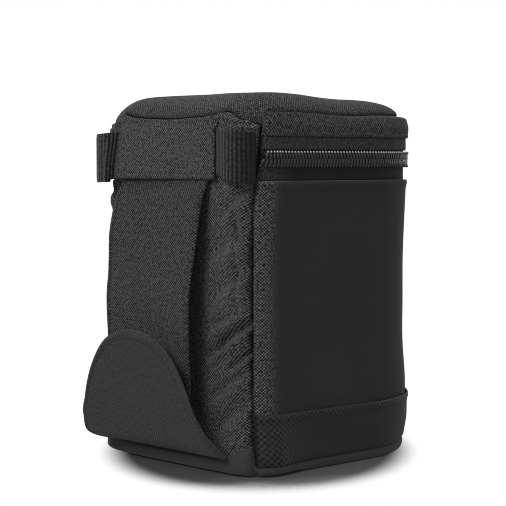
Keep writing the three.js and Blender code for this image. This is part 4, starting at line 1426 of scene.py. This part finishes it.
# The flap's line from its foot, as shares of its rise and of its lean
FLAP_SHARES = ((0, 0), (0.02, 0.2), (0.06, 0.42), (0.12, 0.58), (0.24, 0.735), (0.38, 0.81), (0.59, 0.86),
               (0.8, 0.91), (1, 1))
FLAP_THICKNESS = 2.2 * MM
FLAP_LEAN = 26 * MM
FLAP_BASE_OUT = 0.7 * MM
FLAP_BASE_Z = 8.2 * MM
FLAP_RISE = 58.2 * MM
FLAP_SHIFT = 1.8 * MM
FLAP_X = (FLAP_LOW.x + FLAP_HIGH.x) / 2 + FLAP_SHIFT
FLAP_HALF_WIDTH = (FLAP_HIGH.x - FLAP_LOW.x) / 2
FLAP_POWER = 2.2
# The fold at the flap's foot is rounder at its far end
FLAP_TWIST = in_mm(((8, 0), (14, 3.6), (22, 1.7), (32, 0)))
FLAP_SOFT = 0.5 * MM
FLAP_WAVES = (30 * MM, 71.0)
FLAP_STIFF_SHARE = 0.2
# How much narrower the flap is at its foot, and how far up
FLAP_FOOT_NARROWING = 0.2
FLAP_FOOT_SHARE = 0.09
FLAP_TIP_SHARE = 0.9995
FLAP_RIM_STRETCH = 1.1
FLAP_LEAST_REACH = 0.05
FLAP_ROW_INSET = 2.6 * MM
FLAP_ROW_SHARES = (0.02, 0.98)
PILE_BEVEL = 0.4 * MM
NODE_BEVEL = 0.22 * MM


def flap_path():
    """The flap's line from the base seam up to its tip, as (how far back, height)."""
    points = [Vector((BACK_Y + FLAP_BASE_OUT + FLAP_LEAN * out, FLAP_BASE_Z + FLAP_RISE * up))
              for up, out in FLAP_SHARES]
    return smooth_path(points, BELT_PATH_STEPS)


def flap_shares(across, up_share):
    """Shares of the flap's line and of its half width for a grid place, crowded towards the round tip."""
    up = math.sin(math.pi / 2 * min(max(up_share, 0), 1))
    half = max(0.0, 1 - min(up, FLAP_TIP_SHARE) ** FLAP_POWER) ** (1 / FLAP_POWER)
    return (2 * across - 1) * half, up


def flap_rim(side_share, up):
    """About how far a place on the flap is from its round edge."""
    reach = (abs(side_share) ** FLAP_POWER + max(up, 0.0) ** FLAP_POWER) ** (1 / FLAP_POWER)
    spot = Vector((side_share * FLAP_HALF_WIDTH, up * FLAP_RISE * FLAP_RIM_STRETCH))
    return max(0.0, (1 / max(reach, FLAP_LEAST_REACH) - 1) * spot.length)


def make_flap(sizes, stitches):
    path = flap_path()
    length = sum((b - a).length for a, b in zip(path, path[1:]))
    inner = 1 - FLAP_ROW_INSET / FLAP_HALF_WIDTH

    def on_flap(side_share, up):
        spot, along = path_at(path, up)
        across = side_share * FLAP_HALF_WIDTH
        soft = FLAP_SOFT * rumple(across, up * length, FLAP_WAVES) * smoothstep(0, FLAP_STIFF_SHARE, up)
        out_by = FLAP_THICKNESS / 2 + edge_form(flap_rim(side_share, up), FLAP_EDGE_RISE) + soft
        twist = -shares_at(FLAP_TWIST, spot.y) * side_share
        spot = spot + Vector((along.y, -along.x)) * out_by
        foot = 1 - FLAP_FOOT_NARROWING * (1 - smoothstep(0, FLAP_FOOT_SHARE, up))
        return Vector((FLAP_X - across * foot, spot.x + twist, spot.y))

    def place(u, v):
        return on_flap(*flap_shares(u, v))

    def chart(u, v):
        side_share, up = flap_shares(u, v)
        return side_share * FLAP_HALF_WIDTH, up * length

    def round_row(t):
        turn = math.pi * between(FLAP_ROW_SHARES, t)
        side, up = math.cos(turn), math.sin(turn)
        power = 2 / FLAP_POWER
        return math.copysign(abs(side) ** power, side) * inner, up ** power * inner

    piece = add_piece("flap_cloth", sheet(110, 90, place, chart), "flap_nylon", "flap", "belt_flap",
                      slot="strap_nylon", thickness=FLAP_THICKNESS, bevel=BELT_BEVEL)
    bend_at_seam(piece)
    sew(stitches, on_flap, round_row, sizes)


def bend_at_seam(piece):
    """Takes the flap off its body and bakes its place into its mesh, so it no longer turns about its seam."""
    piece.parent = None
    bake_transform(piece)


def make_pile(name, node, body):
    """A pile patch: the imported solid, merged and rounded."""
    bm = bmesh.new()
    bm.from_mesh(frame["nodes"][node].data)
    bmesh.ops.remove_doubles(bm, verts=bm.verts, dist=SOLID_MERGE_DISTANCE)
    add_piece(name, bm, "hook_and_loop", body, node, bevel=PILE_BEVEL)


def dress_nodes():
    """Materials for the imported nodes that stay, with their sharp edges rounded."""
    slots = {row["node"]: row["material_slot"] for row in frame["record"]["subparts"]}
    for name, node in frame["nodes"].items():
        if node.hide_render:
            continue
        node.data.materials.clear()
        node.data.materials.append(MATERIALS[slots[name]])
        weld = node.modifiers.new("Weld", "WELD")
        weld.merge_threshold = SOLID_MERGE_DISTANCE
        round_edges(node, NODE_BEVEL, 3, 35)


# Stage

CAMERA_PLACE = Vector((-0.624, 0.580, 0.147))
CAMERA_AIM = Vector((0.743, -0.669, -0.0557))
CAMERA_LENS = 118.8
SENSOR_WIDTH = 36
# Width of the film's pixel filter. A wider one would blur the threads
FILM_SHARPNESS = 1.0
# Name, place, size and power of each lamp
LAMPS = (
    ("Key light", Vector((-0.35, 1.2, 0.85)), 0.6, 14.5),
    ("Top light", Vector((-0.15, 0.1, 1.5)), 0.7, 4.5),
    ("Side light", Vector((-1.2, 0.3, 0.5)), 0.8, 2.5),
)
LAMP_AIM = Vector((0, 0, 90 * MM))
WHITE = (1, 1, 1, 1)
SOFT_LIGHT = 0.3
FLOOR_RADIUS = 3.0
# The floor takes the pouch's shadow this far from the middle, towards the camera and sideways, and is white
# beyond the fade
FLOOR_SHADE = (120 * MM, 77 * MM)
FLOOR_MIDDLE = (7 * MM, 8 * MM, 0)
FLOOR_FADE_SHARES = (0.84, 1.08)
# The floor is darker where less of the sky is open to it within a distance
CONTACT_REACH = 90 * MM
CONTACT_OPEN_SHARES = (0.74, 0.93)
CONTACT_SHADE_SHARES = (0.07, 0.95)
PLAIN_FLOOR = (0.62, 0.62, 0.62, 1)


def set_up(name, data, place, direction):
    """A lamp or the camera, turned to look in a direction."""
    thing = add_object(name, data)
    thing.location = place
    thing.rotation_euler = direction.to_track_quat("-Z", "Y").to_euler()
    return thing


def add_lamp(name, place, size, power):
    data = bpy.data.lights.new(name, "AREA")
    data.shape = "DISK"
    data.size = size
    data.energy = power
    set_up(name, data, place, LAMP_AIM - place)


def shader_mix(tree, share, first, second):
    return add_node(tree, "ShaderNodeMixShader", {0: share, 1: first, 2: second}).outputs[0]


def make_world():
    """Shows plain white to the camera and in reflections, and soft light to all else."""
    world = bpy.data.worlds.new("Studio")
    bpy.context.scene.world = world
    world.use_nodes = True
    tree = world.node_tree
    tree.nodes.clear()
    soft, white = (add_node(tree, "ShaderNodeBackground", {"Color": WHITE, "Strength": strength}).outputs[0]
                   for strength in (SOFT_LIGHT, 1.0))
    path = add_node(tree, "ShaderNodeLightPath").outputs
    seen = maths(tree, "MAXIMUM", path["Is Camera Ray"], path["Is Glossy Ray"])
    seen = maths(tree, "MAXIMUM", seen, path["Is Transmission Ray"])
    add_node(tree, "ShaderNodeOutputWorld", {"Surface": shader_mix(tree, seen, soft, white)})


def make_floor():
    bm = bmesh.new()
    bmesh.ops.create_circle(bm, cap_ends=True, segments=64, radius=FLOOR_RADIUS)
    mesh = bpy.data.meshes.new("floor")
    bm.to_mesh(mesh)
    bm.free()
    floor = add_object("floor", mesh)
    material, tree, shader = new_material("Pale studio floor", 0.9, 0.1)
    # The floor's colour darkens with ambient occlusion near the pouch: a painted contact shadow
    openness = add_node(tree, "ShaderNodeAmbientOcclusion", {"Distance": CONTACT_REACH}, samples=16)
    painted_contact_shadow = mapped(tree, openness.outputs["AO"], CONTACT_OPEN_SHARES, CONTACT_SHADE_SHARES)
    tree.links.new(painted_contact_shadow, shader.inputs["Base Color"])
    white = add_node(tree, "ShaderNodeEmission", {"Color": WHITE, "Strength": 1.0}).outputs[0]
    turned = add_node(tree, "ShaderNodeMapping", {
        "Vector": object_place(tree), "Location": FLOOR_MIDDLE, "Scale": (*FLOOR_SHADE, 1),
        "Rotation": (0, 0, math.atan2(CAMERA_PLACE.y, CAMERA_PLACE.x))}, vector_type="TEXTURE").outputs[0]
    distance = add_node(tree, "ShaderNodeVectorMath", {0: turned}, operation="LENGTH").outputs["Value"]
    fade = mapped(tree, distance, FLOOR_FADE_SHARES, smooth=True)
    faded = shader_mix(tree, fade, shader.outputs[0], white)
    plain = add_node(tree, "ShaderNodeBsdfDiffuse", {"Color": PLAIN_FLOOR}).outputs[0]
    path = add_node(tree, "ShaderNodeLightPath").outputs
    seen = shader_mix(tree, path["Is Camera Ray"], plain, faded)
    tree.links.new(seen, tree.nodes["Material Output"].inputs["Surface"])
    mesh.materials.append(material)


def make_camera():
    data = bpy.data.cameras.new("Camera")
    data.lens = CAMERA_LENS
    data.sensor_width = SENSOR_WIDTH
    data.sensor_fit = "HORIZONTAL"
    bpy.context.scene.camera = set_up("Camera", data, CAMERA_PLACE, CAMERA_AIM)


# Operators

# The row of stitches along a hem: how far below the edge, and between which shares of its length
HEM_ROW = 3.4 * MM
HEM_ROW_SHARES = (0.005, 0.995)
LOWER_PHASE, UPPER_PHASE = 0.5, 1.0


class PouchOperator:
    """What every operator of the pouch shares."""

    bl_options = {"REGISTER", "UNDO"}

    def execute(self, context):
        self.make(context.scene.pouch_sizes, context.scene.pouch_colours)
        return {"FINISHED"}


class POUCH_OT_stage(PouchOperator, bpy.types.Operator):
    """Floor, soft studio light and the camera"""

    bl_idname = "pouch.stage"
    bl_label = "Stage"

    def make(self, sizes, colours):
        bpy.context.scene.view_settings.view_transform = "Standard"
        bpy.context.scene.cycles.filter_width = FILM_SHARPNESS
        make_camera()
        make_world()
        make_floor()
        for lamp in LAMPS:
            add_lamp(*lamp)


class POUCH_OT_materials(PouchOperator, bpy.types.Operator):
    """Every cloth, thread, plastic and metal finish"""

    bl_idname = "pouch.materials"
    bl_label = "Materials"

    def make(self, sizes, colours):
        make_materials(sizes, colours)


class POUCH_OT_body(PouchOperator, bpy.types.Operator):
    """Outer cloth, foot band, back panel and base, with their seams"""

    bl_idname = "pouch.body"
    bl_label = "Body"

    def make(self, sizes, colours):
        wrap = make_wrap(sizes)
        band = make_band()
        make_back(sizes)
        make_base(sizes)
        stitches = bmesh.new()
        for place, height in ((wrap, WRAP_HIGH.z - WRAP_LOW.z), (band, FOOT_HIGH.z - FOOT_LOW.z)):
            sew(stitches, place, lambda t: (between(HEM_ROW_SHARES, t), 1 - HEM_ROW / height), sizes)
        add_piece("body_stitching", stitches, "thread", "body", slot="body_nylon")


class POUCH_OT_padding(PouchOperator, bpy.types.Operator):
    """Foam and lining of the wall, back, floor and lid"""

    bl_idname = "pouch.padding"
    bl_label = "Padding"

    def make(self, sizes, colours):
        foam, lining = "closed_cell_foam", "lining_cloth"
        make_wall_layer("wall_padding", "wall_foam", foam, "body", WALL_FOAM_THICKNESS)
        make_wall_layer("wall_liner", "wall_lining", lining, "body", sizes.lining)
        make_wall_layer("lid_side_padding", "lid_side_foam", foam, "lid", LID_FOAM_THICKNESS)
        make_wall_layer("lid_side_liner", "lid_side_lining", lining, "lid", sizes.lining)
        make_back_layer("back_padding", "back_foam", foam, WALL_FOAM_THICKNESS)
        make_back_layer("back_liner", "back_lining", lining, sizes.lining)
        for name, node, finish in (("floor_pad", "base_foam", foam), ("floor_liner", "floor_lining", lining)):
            make_level_pad(name, node, finish, "body", HALF_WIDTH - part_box(node)[1].x)
        make_lid_pad("lid_padding", "lid_foam", foam)
        make_level_pad("lid_liner", "lid_lining", lining, "lid", LID_LINER_INSET)
        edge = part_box("wall_lining")[1]
        make_rim_fold("wall_rim_fold", "body", edge.z, BODY_FOLD_INSET, HALF_WIDTH - edge.x, RIM_FOLD_RISE)
        low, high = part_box("lid_side_lining")
        make_rim_fold("lid_rim_fold", "lid", low.z, LID_FOLD_INSET, HALF_WIDTH - high.x, -RIM_FOLD_RISE)


class POUCH_OT_lid(PouchOperator, bpy.types.Operator):
    """Padded crown of the lid and the band round its side"""

    bl_idname = "pouch.lid"
    bl_label = "Lid"

    def make(self, sizes, colours):
        make_crown(sizes)
        make_lid_band(sizes)


class POUCH_OT_zip(PouchOperator, bpy.types.Operator):
    """Tapes, cover strip and the two coils of the zip"""

    bl_idname = "pouch.zip"
    bl_label = "Zip"

    def make(self, sizes, colours):
        make_chain("lower_coil", "zip_chain_lower", "body", 1, LOWER_PHASE, sizes)
        make_chain("upper_coil", "zip_chain_upper", "lid", -1, UPPER_PHASE, sizes)
        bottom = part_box("zip_tape_lower")[0].z
        make_tape("lower_tape", "zip_tape_lower", "body", "smooth_tape", bottom, ZIP_Z - TAPE_GAP, sizes)
        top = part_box("zip_tape_upper")[1].z
        make_tape("upper_tape", "zip_tape_upper", "lid", "zip_tape", ZIP_Z + TAPE_GAP, top, sizes)
        low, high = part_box("zip_cover_strip")
        bottom, top = low.z - COVER_MARGIN, high.z + COVER_MARGIN
        make_tape("cover_tape", "zip_cover_strip", "lid", "zip_tape", bottom, top, sizes)


class POUCH_OT_belt(PouchOperator, bpy.types.Operator):
    """Webbing loops, anchor patch, belt strap and flap"""

    bl_idname = "pouch.belt"
    bl_label = "Belt fastening"

    def make(self, sizes, colours):
        make_webbing()
        for name, body, maker in (
            ("anchor_stitching", "body", make_patch),
            ("strap_stitching", "strap", make_strap),
            ("flap_stitching", "flap", make_flap),
        ):
            stitches = bmesh.new()
            maker(sizes, stitches)
            add_piece(name, stitches, "thread", body, slot="strap_nylon")
        make_pile("strap_pile", "strap_loop_patch", "strap")
        make_pile("flap_pile", "flap_hook_patch", "flap")


class POUCH_OT_nodes(PouchOperator, bpy.types.Operator):
    """Finishes for the slider, pull tab and board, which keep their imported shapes"""

    bl_idname = "pouch.nodes"
    bl_label = "Packed pieces"

    def make(self, sizes, colours):
        dress_nodes()


class POUCH_PT_panel(bpy.types.Panel):
    """The pouch's sizes, colours and pieces"""

    bl_idname = "POUCH_PT_panel"
    bl_label = "Padded lens pouch"
    bl_space_type = "VIEW_3D"
    bl_region_type = "UI"
    bl_category = "Pouch"

    def draw(self, context):
        for group in (context.scene.pouch_sizes, context.scene.pouch_colours):
            for name in group.__annotations__:
                self.layout.prop(group, name)
        for operator in OPERATORS:
            self.layout.operator(operator.bl_idname)


OPERATORS = (
    POUCH_OT_stage, POUCH_OT_materials, POUCH_OT_body, POUCH_OT_padding, POUCH_OT_lid, POUCH_OT_zip,
    POUCH_OT_belt, POUCH_OT_nodes,
)
CLASSES = (PouchSizes, PouchColours, *OPERATORS, POUCH_PT_panel)


def register():
    for cls in CLASSES:
        bpy.utils.register_class(cls)
    bpy.types.Scene.pouch_sizes = PointerProperty(type=PouchSizes)
    bpy.types.Scene.pouch_colours = PointerProperty(type=PouchColours)


def unregister():
    del bpy.types.Scene.pouch_sizes
    del bpy.types.Scene.pouch_colours
    for cls in reversed(CLASSES):
        bpy.utils.unregister_class(cls)


def main():
    register()
    for step in (bpy.ops.pouch.stage, bpy.ops.pouch.materials, bpy.ops.pouch.body, bpy.ops.pouch.padding,
                 bpy.ops.pouch.lid, bpy.ops.pouch.zip, bpy.ops.pouch.belt, bpy.ops.pouch.nodes):
        step()


if __name__ == "__main__":
    main()
